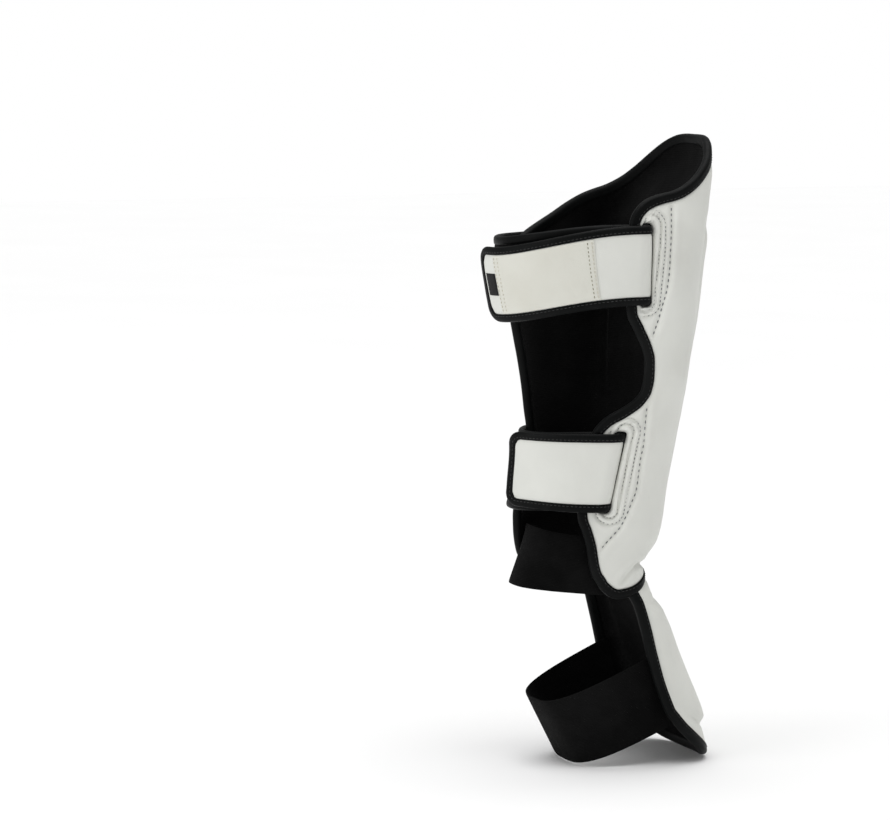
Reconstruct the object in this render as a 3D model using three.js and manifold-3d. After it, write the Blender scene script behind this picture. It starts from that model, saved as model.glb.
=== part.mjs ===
// A strap-on shin and instep guard, in millimetres, worn on a leg that points straight up.
// +Z runs up the shin, the guard's front faces -Y, and the slotted wing is on -X.
// The origin is on the leg's axis at the ankle seam, where the shin shield meets the instep pad.
import * as THREE from "three";
import Module from "manifold-3d";

const wasm = await Module();
wasm.setup();

// Wall build-up of the two pads.
const GAP = 0.35;
const EDGE_WALL = 3.6;
const SHIN_FOAM = 13;
const INSTEP_FOAM = 8;
const LINING = 1.2;
const SHIN_RELIEF = 3.2;
const INSTEP_RELIEF = 4.5;
const RELIEF_SLOPE = 11;

// Folded tape round the pads: how far it stands out from the edge, and how far past each face.
const TAPE_WIDTH = 7.6;
const TAPE_PROUD = 0.6;
const TAPE_GAP = 0.55;

// The straps: leather between two tape edges, folded back through a slot.
const STRAP_BODY = 49.2;
const STRAP_THICK = 3.2;
const STRAP_TAPE = 6.6;
const STRAP_TAPE_THICK = 4.4;
const FOLD_RADIUS = 6.4;
const FOLD_CENTRE = -2.8;
const SLOT_WIDTH = 9.8;
const SLOT_SPARE = 2.4;
const STRAP_TAPER = 0.05;
const LEAN_REACH = 40;

// The sewn rectangle and the label on the upper strap's free end.
const PATCH = { length: 77, height: 47.6, thick: 1.0, from_end: 20.5 };
const LABEL = { length: 11, height: 18, thick: 0.6, from_end: 8.5 };

// The elastic bands.
const ELASTIC_THICK = 1.6;
const ANKLE_BAND = 46;

// How the front and the rear halves of a section round off.
const FRONT_POWER = 0.8;

const DEG = Math.PI / 180;

// Rows of numbers under named columns.
function table(names, rows) {
  return rows.map((row) => Object.fromEntries(names.map((name, i) => [name, row[i]])));
}

// Sections of the oval that the shield and its wings follow, by height: half width, front, widest line,
// rear, and the share by which the straps pull the wings in behind the widest line.
const SHIN = table(["at", "half", "front", "widest", "rear", "pinch"], [
  [-24, 48.5, -43, -12, 57, 0],
  [0, 50, -40.5, -12, 58, 0],
  [6, 51, -38.5, -12, 58, 0.005],
  [11, 52, -34.5, -12, 58, 0.01],
  [15, 53, -40.5, -12, 58.5, 0.02],
  [20, 53.8, -45.2, -12.5, 59, 0.025],
  [28, 54.8, -51.3, -13, 59.5, 0.035],
  [44, 57, -55.5, -14, 60, 0.05],
  [73, 58.8, -59.3, -18, 54, 0.07],
  [111, 62.5, -65, -24, 47.5, 0.07],
  [130, 65, -68, -28, 50, 0.06],
  [150, 69, -70.2, -33, 52.5, 0.05],
  [170, 72.5, -71.5, -37, 56, 0.05],
  [188, 75.5, -73.2, -40, 60, 0.06],
  [210, 77.8, -75.5, -42, 64.5, 0.08],
  [230, 78, -77.8, -42, 67, 0.09],
  [256, 77.5, -81.5, -42, 69, 0.06],
  [270, 75.5, -85, -42, 69, 0.02],
  [280, 72.6, -87.5, -42, 68, -0.015],
  [290, 68.6, -91.5, -42, 66, -0.035],
  [300, 64.4, -94.5, -42, 64, -0.03],
  [309, 62.2, -96.5, -42, 62, 0],
  [320, 60, -98, -42, 60, 0],
  [332, 57, -97.5, -42, 58, 0],
  [356, 53, -97, -42, 56, 0],
]);
const PINCH_REACH = 30;

// The leather's upper edge against the angle round the leg: near wing, then far wing.
const SHIN_TOP_NEAR = table(["at", "z"], [
  [0, 340], [10, 339.4], [20, 336.4], [28, 332.2], [36, 327], [44, 322.5], [52, 318], [62, 311.5],
  [72, 305.8], [82, 300.8], [90, 297.8], [96, 295.5], [101, 292], [104.5, 286.5], [106.3, 279.5], [107, 270],
]);
const SHIN_TOP_FAR = table(["at", "z"], [
  [0, 340], [10, 340.2], [20, 339.2], [28, 337], [36, 333.6], [44, 328.8], [52, 322.8], [62, 314.6],
  [72, 307.2], [82, 301.3], [90, 297], [97, 292.5], [104, 285.5], [112, 277], [122, 269], [133, 261],
  [144, 252], [150, 244],
]);

// The leather's lower edge against the angle, near and far.
const SHIN_BOTTOM_NEAR = table(["at", "z"], [
  [0, 6], [20, 5.5], [40, 3], [60, -1], [73, -4], [88, -7], [95, -8], [102, -3], [106, 4],
]);
const SHIN_BOTTOM_FAR = table(["at", "z"], [
  [0, 6], [20, 5.5], [40, 3], [60, -1], [73, -4], [88, -7], [96, -8], [110, -5], [130, 7], [145, 19],
  [150, 26],
]);

// The near wing's rear edge, with its cut-out between the two strap lobes.
const NEAR_EDGE = table(["at", "y"], [
  [4, 8], [10, 10.5], [18, 12.3], [28, 14], [40, 17.5], [52, 21], [85, 17], [106, 14], [115, 11], [123, 4.5],
  [131, -8], [140, -18.5], [150, -24], [162, -25.5], [175, -25], [188, -21.5], [200, -16], [212, -11],
  [226, -10.5], [254, -10.5], [263, -11], [270, -11.5],
]);

// The far wing's rear edge, as an angle round the leg.
const FAR_EDGE = table(["at", "angle"], [
  [4, 144], [10, 147.5], [20, 150], [255, 150], [263, 148], [270, 145],
]);

// The shield's grid: heights of its rows at the near edge, and angles of its columns.
const SHIN_ROWS = [
  4, 10, 18, 28, 40, 52, 66, 80, 94, 106, 115, 123, 131, 140, 150, 162, 175, 188, 200, 212, 226, 240, 253,
  262, 270,
];
const QUILT_ANGLE = 88;
const PANEL_ANGLE = 42;
const SHIN_COLUMNS = { wing: 3, side: 4, panel: 8, far: 7 };
const TOP_REACH = { from: 190, power: 1.6 };
const BOTTOM_REACH = { from: 70, power: 2 };

// Half width of the raised shin panel by height, its arched top and its straight foot.
const SHIN_PANEL = table(["at", "half"], [
  [39, 24], [51, 24], [75, 26], [100, 30], [136, 35], [157, 40], [181, 46], [205, 51], [235, 52], [310, 52],
]);
const SHIN_PANEL_TOP = { centre: 296, drop: 33, half: 52, power: 1.6 };
const SHIN_PANEL_FOOT = 39;

// Sections of the instep pad by height, falling forward down the foot.
const INSTEP = table(["at", "half", "front", "widest", "rear", "pinch"], [
  [-152, 50, -96.5, -73, 0, 0],
  [-138, 53, -95, -65, 0, 0],
  [-128, 55.5, -92.2, -57, 0, 0],
  [-119, 56.5, -89.5, -50, 0, 0],
  [-112, 56.7, -87.5, -45, 0, 0],
  [-100, 56, -82.5, -39.5, 0, 0],
  [-81, 54, -74.5, -33.5, 0, 0],
  [-62, 52.8, -66, -29.5, 0, 0],
  [-42, 52, -58.5, -25.5, 0, 0],
  [-26, 51.2, -51.2, -22, 0, 0],
  [-18, 50.8, -48, -19.5, 0, 0],
  [-8, 50.2, -43.5, -16, 0, 0],
  [-2, 50, -41.5, -14.5, 0, 0],
]);
const INSTEP_TOP = table(["at", "z"], [
  [0, -3.6], [20, -4.2], [40, -7], [60, -11.2], [73, -15.2], [80, -18.5],
]);
const INSTEP_BOTTOM = table(["at", "z"], [
  [0, -144.5], [20, -144], [34, -142.5], [45, -140], [54, -136.5], [62, -131.5], [70, -124.5], [76, -116.5],
  [80, -106],
]);
const INSTEP_ROWS = [-144.5, -129, -112, -94, -76, -58, -42, -28, -15, -4];
const INSTEP_EDGE_ANGLE = 80;
const INSTEP_COLUMNS = 14;
const INSTEP_PANEL = { half: 50, top: -22, shoulder: -36, neck: 2, spread: 36, foot: -122.5, corner: 12 };

// One strap: its heights, the slot it folds through, where its two ends lie round the leg, how far its free
// end's cross lines lean, and how far that end tips out at its upper edge.
const STRAPS = {
  upper: {
    root: 99, end: 171.5, rootZ: 238, rearZ: 236, slotZ: 249, endZ: 232, lean: 0.12, tilt: 0,
    slot: { topZ: 281, topY: -13.5, footZ: 217, footY: -13.5 },
  },
  lower: {
    root: 101, end: 179, rootZ: 84, rearZ: 84, slotZ: 86, endZ: 87, lean: 0.04, tilt: 0.09,
    slot: { topZ: 118, topY: 1.1, footZ: 54, footY: 12.6 },
  },
};

// How far a strap stands off the oval, along the run to the slot and along the free end.
const STRAP_RUN = table(["at", "off"], [
  [0, 3.1], [0.24, 3.7], [0.32, 4.6], [0.4, 4.6], [0.52, 2.8], [0.66, -2.6], [0.8, -8.9], [0.88, -10.1],
  [1, -9.8],
]);
const STRAP_FREE = table(["at", "off"], [
  [0, 4.2], [0.16, 4.4], [0.32, 5.2], [0.5, 6.8], [0.7, 9.4], [0.86, 12.4], [1, 15.8],
]);
const STRAP_STEPS = { run: 22, fold: 5, free: 16 };

// The ankle band round the heel: angle, middle height, and how far each edge stands off the oval.
const ANKLE_PATH = table(["at", "z", "top", "foot"], [
  [128, 12, -9, -8.5],
  [150, 15, -9.5, -8],
  [160, 16, -11.5, 2],
  [172, 16.5, -12.5, 6],
  [190, 16, -12.5, 6],
  [215, 14, -11, -1],
  [240, 11.5, -9.5, -7.5],
  [262, 9.5, -9, -8.5],
]);
const ANKLE_STEPS = 34;

// The foot band's rear and front edges, from the instep pad's edge down to the middle of the sole.
const FOOT_REAR = { x: 43.5, y: -39.5, z: -63, soleY: 45.5, soleZ: -99.5 };
const FOOT_FRONT = { x: 44.5, y: -52.5, z: -122, soleY: 18.5, soleZ: -151 };
const FOOT_BEND = 0.62;
const FOOT_STEPS = 30;

// Value of a table's column at x, on a smooth curve that keeps to its rows' range.
function curve(rows, column, x) {
  const last = rows.length - 1;
  if (x <= rows[0].at) return rows[0][column];
  if (x >= rows[last].at) return rows[last][column];
  let k = 0;
  while (rows[k + 1].at < x) k += 1;
  const rise = (i) => (rows[i + 1][column] - rows[i][column]) / (rows[i + 1].at - rows[i].at);
  const slope = (i) => {
    if (i === 0) return rise(0);
    if (i === last) return rise(last - 1);
    const [a, b] = [rise(i - 1), rise(i)];
    return a * b <= 0 ? 0 : (2 * a * b) / (a + b);
  };
  const h = rows[k + 1].at - rows[k].at;
  const u = (x - rows[k].at) / h;
  const [p, q] = [rows[k][column], rows[k + 1][column]];
  const [m, n] = [slope(k) * h, slope(k + 1) * h];
  return p + u * (m + u * (3 * (q - p) - 2 * m - n + u * (2 * (p - q) + m + n)));
}

function clamp01(x) {
  return Math.min(1, Math.max(0, x));
}

function smooth(x) {
  const u = clamp01(x);
  return u * u * (3 - 2 * u);
}

// Point of an oval at an angle from the front, positive towards +X, at one height.
function ovalPoint(sections, angle, z) {
  const half = curve(sections, "half", z);
  const widest = curve(sections, "widest", z);
  const s = Math.sin(angle * DEG);
  const c = Math.cos(angle * DEG);
  if (c > 0) {
    const depth = widest - curve(sections, "front", z);
    const x = half * Math.sign(s) * Math.abs(s) ** FRONT_POWER;
    return new THREE.Vector3(x, widest - depth * c ** FRONT_POWER, z);
  }
  const y = widest - (curve(sections, "rear", z) - widest) * c;
  const pulled = 1 - curve(sections, "pinch", z) * smooth((y - widest) / PINCH_REACH);
  return new THREE.Vector3(half * s * pulled, y, z);
}

// Level direction pointing straight out of the oval.
function ovalNormal(sections, angle, z) {
  const ahead = ovalPoint(sections, angle + 0.6, z);
  const behind = ovalPoint(sections, angle - 0.6, z);
  const along = ahead.sub(behind);
  return new THREE.Vector3(along.y, -along.x, 0).normalize();
}

function offsetPoint(sections, angle, z, off) {
  return ovalPoint(sections, angle, z).addScaledVector(ovalNormal(sections, angle, z), off);
}

// Angle, 0 to 180, at which the oval passes a given y.
function angleAt(sections, y, z) {
  const widest = curve(sections, "widest", z);
  if (y < widest) {
    const depth = widest - curve(sections, "front", z);
    return Math.acos(clamp01((widest - y) / depth) ** (1 / FRONT_POWER)) / DEG;
  }
  const depth = curve(sections, "rear", z) - widest;
  return Math.acos(-clamp01((y - widest) / depth)) / DEG;
}

// Closed mesh from a vertex list and triangle list, turned so that its faces point out.
function meshFrom(points, faces) {
  let volume = 0;
  for (const [a, b, c] of faces) {
    volume += points[a].dot(points[b].clone().cross(points[c]));
  }
  const turned = volume < 0 ? faces.map(([a, b, c]) => [a, c, b]) : faces;
  const geometry = new THREE.BufferGeometry();
  geometry.setAttribute("position", new THREE.Float32BufferAttribute(points.flatMap((p) => p.toArray()), 3));
  geometry.setIndex(turned.flat());
  return geometry;
}

// Wall between two grids of points that share their layout.
function wallBetween(outer, inner) {
  const rows = outer.length;
  const columns = outer[0].length;
  const points = [...outer.flat(), ...inner.flat()];
  const at = (side, j, i) => side * rows * columns + j * columns + i;
  const faces = [];
  const quad = (a, b, c, d) => faces.push([a, b, c], [a, c, d]);
  for (let j = 0; j < rows - 1; j += 1) {
    for (let i = 0; i < columns - 1; i += 1) {
      quad(at(0, j, i), at(0, j, i + 1), at(0, j + 1, i + 1), at(0, j + 1, i));
      quad(at(1, j, i), at(1, j + 1, i), at(1, j + 1, i + 1), at(1, j, i + 1));
    }
    quad(at(0, j, 0), at(0, j + 1, 0), at(1, j + 1, 0), at(1, j, 0));
    quad(at(0, j + 1, columns - 1), at(0, j, columns - 1), at(1, j, columns - 1), at(1, j + 1, columns - 1));
  }
  for (let i = 0; i < columns - 1; i += 1) {
    quad(at(0, 0, i + 1), at(0, 0, i), at(1, 0, i), at(1, 0, i + 1));
    quad(at(0, rows - 1, i), at(0, rows - 1, i + 1), at(1, rows - 1, i + 1), at(1, rows - 1, i));
  }
  return meshFrom(points, faces);
}

// Solid through a list of rings of points; it closes on itself or is capped at both ends.
function ringSolid(rings, closed) {
  const sides = rings[0].length;
  const points = rings.flat();
  const at = (k, i) => (k % rings.length) * sides + (i % sides);
  const faces = [];
  const spans = closed ? rings.length : rings.length - 1;
  for (let k = 0; k < spans; k += 1) {
    for (let i = 0; i < sides; i += 1) {
      faces.push([at(k, i), at(k, i + 1), at(k + 1, i + 1)], [at(k, i), at(k + 1, i + 1), at(k + 1, i)]);
    }
  }
  if (!closed) {
    for (let i = 1; i < sides - 1; i += 1) {
      faces.push([at(0, 0), at(0, i + 1), at(0, i)]);
      faces.push([at(rings.length - 1, 0), at(rings.length - 1, i), at(rings.length - 1, i + 1)]);
    }
  }
  return meshFrom(points, faces);
}

// Evenly spaced values from a to b, both included.
function spread(a, b, steps) {
  return Array.from({ length: steps + 1 }, (_, i) => a + ((b - a) * i) / steps);
}

// The shield's columns in one row: near wing, side, raised panel, side and far wing.
function shinAngles(rowZ) {
  const near = angleAt(SHIN, curve(NEAR_EDGE, "y", rowZ), rowZ);
  const far = curve(FAR_EDGE, "angle", rowZ);
  const stops = [
    [-near, -QUILT_ANGLE, SHIN_COLUMNS.wing],
    [-QUILT_ANGLE, -PANEL_ANGLE, SHIN_COLUMNS.side],
    [-PANEL_ANGLE, PANEL_ANGLE, SHIN_COLUMNS.panel],
    [PANEL_ANGLE, QUILT_ANGLE, SHIN_COLUMNS.side],
    [QUILT_ANGLE, far, SHIN_COLUMNS.far],
  ];
  const angles = [-near];
  for (const [a, b, steps] of stops) angles.push(...spread(a, b, steps).slice(1));
  return angles;
}

function shinTop(angle) {
  return curve(angle < 0 ? SHIN_TOP_NEAR : SHIN_TOP_FAR, "z", Math.abs(angle));
}

function shinBottom(angle) {
  return curve(angle < 0 ? SHIN_BOTTOM_NEAR : SHIN_BOTTOM_FAR, "z", Math.abs(angle));
}

// Height of a grid point: its row's height, drawn up to the arched top and down to the lower edge.
function shinHeight(angle, rowZ) {
  const [first, last] = [SHIN_ROWS[0], SHIN_ROWS[SHIN_ROWS.length - 1]];
  const up = clamp01((rowZ - TOP_REACH.from) / (last - TOP_REACH.from)) ** TOP_REACH.power;
  const down = clamp01((BOTTOM_REACH.from - rowZ) / (BOTTOM_REACH.from - first)) ** BOTTOM_REACH.power;
  return rowZ + (shinTop(angle) - last) * up + (shinBottom(angle) - first) * down;
}

// Height of the raised shin panel over the leather round it.
function shinRelief(x, z) {
  const { centre, drop, half, power } = SHIN_PANEL_TOP;
  const top = centre - drop * (Math.abs(x) / half) ** power;
  const inside = Math.min(curve(SHIN_PANEL, "half", z) - Math.abs(x), top - z, z - SHIN_PANEL_FOOT);
  return SHIN_RELIEF * smooth(0.5 + inside / RELIEF_SLOPE);
}

// Thickness of the shield's wall: foam behind the panel, thin wings, thin top and foot.
function shinWall(angle, z) {
  const across = smooth((QUILT_ANGLE + 2 - Math.abs(angle)) / 28);
  const upper = smooth((shinTop(angle) - z - 4) / 46);
  const lower = smooth((z - 6) / 42);
  return EDGE_WALL + SHIN_FOAM * across * upper * lower;
}

function shinGrid(offset) {
  return SHIN_ROWS.map((rowZ) =>
    shinAngles(rowZ).map((angle) => {
      const z = shinHeight(angle, rowZ);
      return offsetPoint(SHIN, angle, z, offset(angle, z));
    }),
  );
}

function shinOuterOffset(angle, z) {
  return Math.abs(angle) < 80 ? shinRelief(ovalPoint(SHIN, angle, z).x, z) : 0;
}

function instepHeight(angle, rowZ) {
  const [first, last] = [INSTEP_ROWS[0], INSTEP_ROWS[INSTEP_ROWS.length - 1]];
  const u = (rowZ - first) / (last - first);
  const top = curve(INSTEP_TOP, "z", Math.abs(angle));
  const bottom = curve(INSTEP_BOTTOM, "z", Math.abs(angle));
  return bottom + (top - bottom) * u;
}

function instepRelief(x, z) {
  const a = Math.abs(x);
  const { half, top, shoulder, neck, spread: width, foot, corner } = INSTEP_PANEL;
  const roof = top + (shoulder - top) * smooth((a - neck) / width);
  const floor = foot + corner * clamp01(a / half) ** 5;
  return INSTEP_RELIEF * smooth(0.5 + Math.min(half - a, roof - z, z - floor) / RELIEF_SLOPE);
}

function instepWall(angle, z) {
  const across = smooth((INSTEP_EDGE_ANGLE - 10 - Math.abs(angle)) / 30);
  const upper = smooth((curve(INSTEP_TOP, "z", Math.abs(angle)) - z - 3) / 26);
  const lower = smooth((z - curve(INSTEP_BOTTOM, "z", Math.abs(angle)) - 6) / 26);
  return EDGE_WALL + INSTEP_FOAM * across * upper * lower;
}

function instepGrid(offset) {
  const angles = spread(-INSTEP_EDGE_ANGLE, INSTEP_EDGE_ANGLE, INSTEP_COLUMNS);
  return INSTEP_ROWS.map((rowZ) =>
    angles.map((angle) => {
      const z = instepHeight(angle, rowZ);
      return offsetPoint(INSTEP, angle, z, offset(angle, z));
    }),
  );
}

// Grid points along a pad's edge: down the near side, along the foot, up the far side, and along the top.
function rimOf(grid, withTop) {
  const rows = grid.length;
  const columns = grid[0].length;
  const rim = [];
  for (let j = rows - 1; j > 0; j -= 1) rim.push(grid[j][0]);
  for (let i = 0; i < columns - 1; i += 1) rim.push(grid[0][i]);
  for (let j = 0; j < rows; j += 1) rim.push(grid[j][columns - 1]);
  if (withTop) for (let i = columns - 2; i > 0; i -= 1) rim.push(grid[rows - 1][i]);
  return rim;
}

// Folded tape along a pad's edge, from the rims of its face and of its lining's back.
function tapeRound(faceGrid, backGrid, withTop) {
  const face = rimOf(faceGrid, withTop);
  const back = rimOf(backGrid, withTop);
  const last = face.length - 1;
  const ahead = (k) => (withTop ? face[(k + 1) % face.length] : face[Math.min(k + 1, last)]);
  const behind = (k) => (withTop ? face[(k + last) % face.length] : face[Math.max(k - 1, 0)]);
  const rings = face.map((point, k) => {
    const along = ahead(k).clone().sub(behind(k)).normalize();
    const through = point.clone().sub(back[k]);
    const wall = through.length();
    through.normalize();
    const out = along.clone().cross(through).normalize();
    const normal = out.clone().cross(along).normalize();
    const profile = [
      [TAPE_GAP, -wall - 0.1],
      [TAPE_GAP, 0.1],
      [TAPE_WIDTH * 0.72, TAPE_PROUD],
      [TAPE_WIDTH, -wall * 0.28],
      [TAPE_WIDTH, -wall * 0.72],
      [TAPE_WIDTH * 0.72, -wall - TAPE_PROUD],
    ];
    return profile.map(([o, n]) => point.clone().addScaledVector(out, o).addScaledVector(normal, n));
  });
  return ringSolid(rings, withTop);
}

// Where a strap's fold line crosses the near wing, as an angle from the front, at one height.
function slotAngle(strap, z, ahead) {
  const { topZ, topY, footZ, footY } = strap.slot;
  const y = footY + ((topY - footY) * (z - footZ)) / (topZ - footZ);
  return 360 - angleAt(SHIN, y - ahead, z);
}

// Lengths of a strap's run, fold and free end along its middle line.
function strapLengths(strap) {
  const length = (from, to) => {
    const line = spread(from, to, 60).map((angle) => ovalPoint(SHIN, angle, strap.rearZ));
    return line.slice(1).reduce((sum, p, i) => sum + p.distanceTo(line[i]), 0);
  };
  const bar = slotAngle(strap, strap.slotZ, 0);
  return { run: length(strap.root, bar), fold: Math.PI * FOLD_RADIUS, free: length(bar, strap.end) };
}

// Point of a strap: q along it from the sewn root, w up across it, d out through its leather face.
function strapPoint(strap, lengths, q, w, d) {
  if (q <= lengths.run) {
    const u = q / lengths.run;
    const z = strap.rootZ + (strap.slotZ - strap.rootZ) * smooth((u - 0.45) / 0.5) + w;
    const angle = strap.root + (slotAngle(strap, z, 0) - strap.root) * u;
    return offsetPoint(SHIN, angle, z, curve(STRAP_RUN, "off", u) - d);
  }
  if (q < lengths.run + lengths.fold) {
    const turn = -Math.PI / 2 + (Math.PI * (q - lengths.run)) / lengths.fold;
    const z = strap.slotZ + w;
    const ahead = (FOLD_RADIUS + d) * Math.cos(turn);
    const off = FOLD_CENTRE + (FOLD_RADIUS + d) * Math.sin(turn);
    return offsetPoint(SHIN, slotAngle(strap, z, ahead), z, off);
  }
  const past = q - lengths.run - lengths.fold;
  const u = Math.max(0, past + strap.lean * w * smooth(past / LEAN_REACH)) / lengths.free;
  const across = w * (1 - STRAP_TAPER * smooth(u));
  const z = strap.slotZ + (strap.endZ - strap.slotZ) * smooth(u / 0.9) + across;
  const bar = slotAngle(strap, z, 0);
  const off = curve(STRAP_FREE, "off", u) + strap.tilt * w * smooth(u) + d;
  return offsetPoint(SHIN, bar + (strap.end - bar) * u, z, off);
}

function strapStations(lengths, end) {
  const folded = lengths.run + lengths.fold;
  return [
    ...spread(0, lengths.run, STRAP_STEPS.run),
    ...spread(lengths.run, folded, STRAP_STEPS.fold).slice(1),
    ...spread(folded, end, STRAP_STEPS.free).slice(1),
  ];
}

// Strip on a strap between two lengths along it, two heights across it and two depths through it.
function strapStrip(strap, lengths, stations, low, high, back, face) {
  const rings = stations.map((q) => [
    strapPoint(strap, lengths, q, low, back),
    strapPoint(strap, lengths, q, high, back),
    strapPoint(strap, lengths, q, high, face),
    strapPoint(strap, lengths, q, low, face),
  ]);
  return ringSolid(rings, false);
}

function strapBody(strap) {
  const lengths = strapLengths(strap);
  const total = lengths.run + lengths.fold + lengths.free;
  const half = STRAP_BODY / 2;
  const stations = strapStations(lengths, total - STRAP_TAPE);
  return strapStrip(strap, lengths, stations, -half, half, -STRAP_THICK / 2, STRAP_THICK / 2);
}

// Tape along a strap's upper edge, round its free end and back along its lower edge.
function strapTape(strap) {
  const lengths = strapLengths(strap);
  const end = lengths.run + lengths.fold + lengths.free - STRAP_TAPE;
  const inner = STRAP_BODY / 2 + GAP;
  const reach = STRAP_TAPE - GAP;
  const stations = strapStations(lengths, end);
  const pairs = stations.map((q) => [q, inner, q, inner + reach]);
  for (const turn of [30, 60]) {
    const [s, c] = [Math.sin(turn * DEG), Math.cos(turn * DEG)];
    pairs.push([end + GAP, inner, end + GAP + reach * s, inner + reach * c]);
  }
  for (const w of spread(inner, -inner, 4)) pairs.push([end + GAP, w, end + GAP + reach, w]);
  for (const turn of [60, 30]) {
    const [s, c] = [Math.sin(turn * DEG), Math.cos(turn * DEG)];
    pairs.push([end + GAP, -inner, end + GAP + reach * s, -inner - reach * c]);
  }
  for (const q of [...stations].reverse()) pairs.push([q, -inner, q, -inner - reach]);
  const half = STRAP_TAPE_THICK / 2;
  const rings = pairs.map(([q0, w0, q1, w1]) => [
    strapPoint(strap, lengths, q0, w0, -half),
    strapPoint(strap, lengths, q1, w1, -half),
    strapPoint(strap, lengths, q1, w1, half),
    strapPoint(strap, lengths, q0, w0, half),
  ]);
  return ringSolid(rings, false);
}

// Flat piece sewn on the face of a strap's free end.
function onStrap(strap, piece, lift) {
  const lengths = strapLengths(strap);
  const end = lengths.run + lengths.fold + lengths.free - piece.from_end;
  const stations = spread(end - piece.length, end, Math.ceil(piece.length / 8));
  const face = STRAP_THICK / 2 + lift;
  return strapStrip(strap, lengths, stations, -piece.height / 2, piece.height / 2, face, face + piece.thick);
}

// Tall slit through the near wing for a strap's fold.
function slotCutter(strap) {
  const { topZ, footZ } = strap.slot;
  const rings = spread(footZ - SLOT_SPARE, topZ + SLOT_SPARE, 6).map((z) => {
    const rear = slotAngle(strap, z, -0.4);
    const front = slotAngle(strap, z, SLOT_WIDTH);
    return [
      offsetPoint(SHIN, rear, z, -25),
      offsetPoint(SHIN, front, z, -25),
      offsetPoint(SHIN, front, z, 8),
      offsetPoint(SHIN, rear, z, 8),
    ];
  });
  return ringSolid(rings, false);
}

function solidOf(geometry) {
  const vertProperties = new Float32Array(geometry.getAttribute("position").array);
  const triVerts = new Uint32Array(geometry.index.array);
  return new wasm.Manifold(new wasm.Mesh({ numProp: 3, vertProperties, triVerts }));
}

// A wall with the strap slots cut through it.
function withSlots(geometry) {
  let solid = solidOf(geometry);
  for (const strap of Object.values(STRAPS)) solid = solid.subtract(solidOf(slotCutter(strap)));
  const mesh = solid.getMesh();
  const cut = new THREE.BufferGeometry();
  const corners = new Float32Array(mesh.vertProperties);
  cut.setAttribute("position", new THREE.BufferAttribute(corners, mesh.numProp));
  cut.setIndex(Array.from(mesh.triVerts));
  return cut;
}

// Band round the back of the ankle, hidden at both ends under the wings.
function ankleBand() {
  const [first, last] = [ANKLE_PATH[0].at, ANKLE_PATH[ANKLE_PATH.length - 1].at];
  const rings = spread(first, last, ANKLE_STEPS).map((angle) => {
    const middle = curve(ANKLE_PATH, "z", angle);
    const point = (side, through) => {
      const z = middle + (side * ANKLE_BAND) / 2;
      const off = curve(ANKLE_PATH, side > 0 ? "top" : "foot", angle);
      return offsetPoint(SHIN, angle, z, off + through);
    };
    const half = ELASTIC_THICK / 2;
    return [point(-1, -half), point(1, -half), point(1, half), point(-1, half)];
  });
  return ringSolid(rings, false);
}

// One edge of the foot band: a turn of -90 is its near end, 0 the sole's middle and 90 its far end.
function footEdge(edge, turn) {
  const s = Math.sin(turn * DEG);
  const down = Math.cos(turn * DEG) ** FOOT_BEND;
  const x = edge.x * Math.sign(s) * Math.abs(s) ** FOOT_BEND;
  return new THREE.Vector3(x, edge.y + (edge.soleY - edge.y) * down, edge.z + (edge.soleZ - edge.z) * down);
}

// Band from one edge of the instep pad under the arch of the foot to the other.
function footBand() {
  const middle = (turn) => footEdge(FOOT_REAR, turn).add(footEdge(FOOT_FRONT, turn));
  const rings = spread(-90, 90, FOOT_STEPS).map((turn) => {
    const rear = footEdge(FOOT_REAR, turn);
    const front = footEdge(FOOT_FRONT, turn);
    const along = middle(Math.min(90, turn + 1.5)).sub(middle(Math.max(-90, turn - 1.5)));
    const normal = along.cross(front.clone().sub(rear)).normalize();
    const moved = (point, side) => point.clone().addScaledVector(normal, (side * ELASTIC_THICK) / 2);
    return [moved(rear, -1), moved(front, -1), moved(front, 1), moved(rear, 1)];
  });
  return ringSolid(rings, false);
}

const LEATHER = { color: 0xe4e2db, roughness: 0.5, metalness: 0 };
const PATCH_LEATHER = { color: 0xe6e2d6, roughness: 0.55, metalness: 0 };
const TAPE = { color: 0x17191a, roughness: 0.6, metalness: 0 };
const CLOTH = { color: 0x121212, roughness: 0.9, metalness: 0 };
const ELASTIC = { color: 0x0d0d0d, roughness: 0.95, metalness: 0 };

const guard = new THREE.Group();

function addPiece(name, geometry, look) {
  const mesh = new THREE.Mesh(geometry, new THREE.MeshStandardMaterial(look));
  mesh.name = name;
  guard.add(mesh);
}

const shinInner = (angle, z) => -shinWall(angle, z);
const shinFace = shinGrid(shinOuterOffset);
const shinBehind = shinGrid((angle, z) => shinInner(angle, z) - GAP);
const shinBack = shinGrid((angle, z) => shinInner(angle, z) - GAP - LINING);
addPiece("shin_pad", withSlots(wallBetween(shinFace, shinGrid(shinInner))), LEATHER);
addPiece("shin_lining", withSlots(wallBetween(shinBehind, shinBack)), CLOTH);
addPiece("shin_binding", tapeRound(shinFace, shinBack, true), TAPE);

const instepInner = (angle, z) => -instepWall(angle, z);
const instepFace = instepGrid((angle, z) => instepRelief(ovalPoint(INSTEP, angle, z).x, z));
const instepBehind = instepGrid((angle, z) => instepInner(angle, z) - GAP);
const instepBack = instepGrid((angle, z) => instepInner(angle, z) - GAP - LINING);
addPiece("instep_pad", wallBetween(instepFace, instepGrid(instepInner)), LEATHER);
addPiece("instep_lining", wallBetween(instepBehind, instepBack), CLOTH);
addPiece("instep_binding", tapeRound(instepFace, instepBack, false), TAPE);

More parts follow.
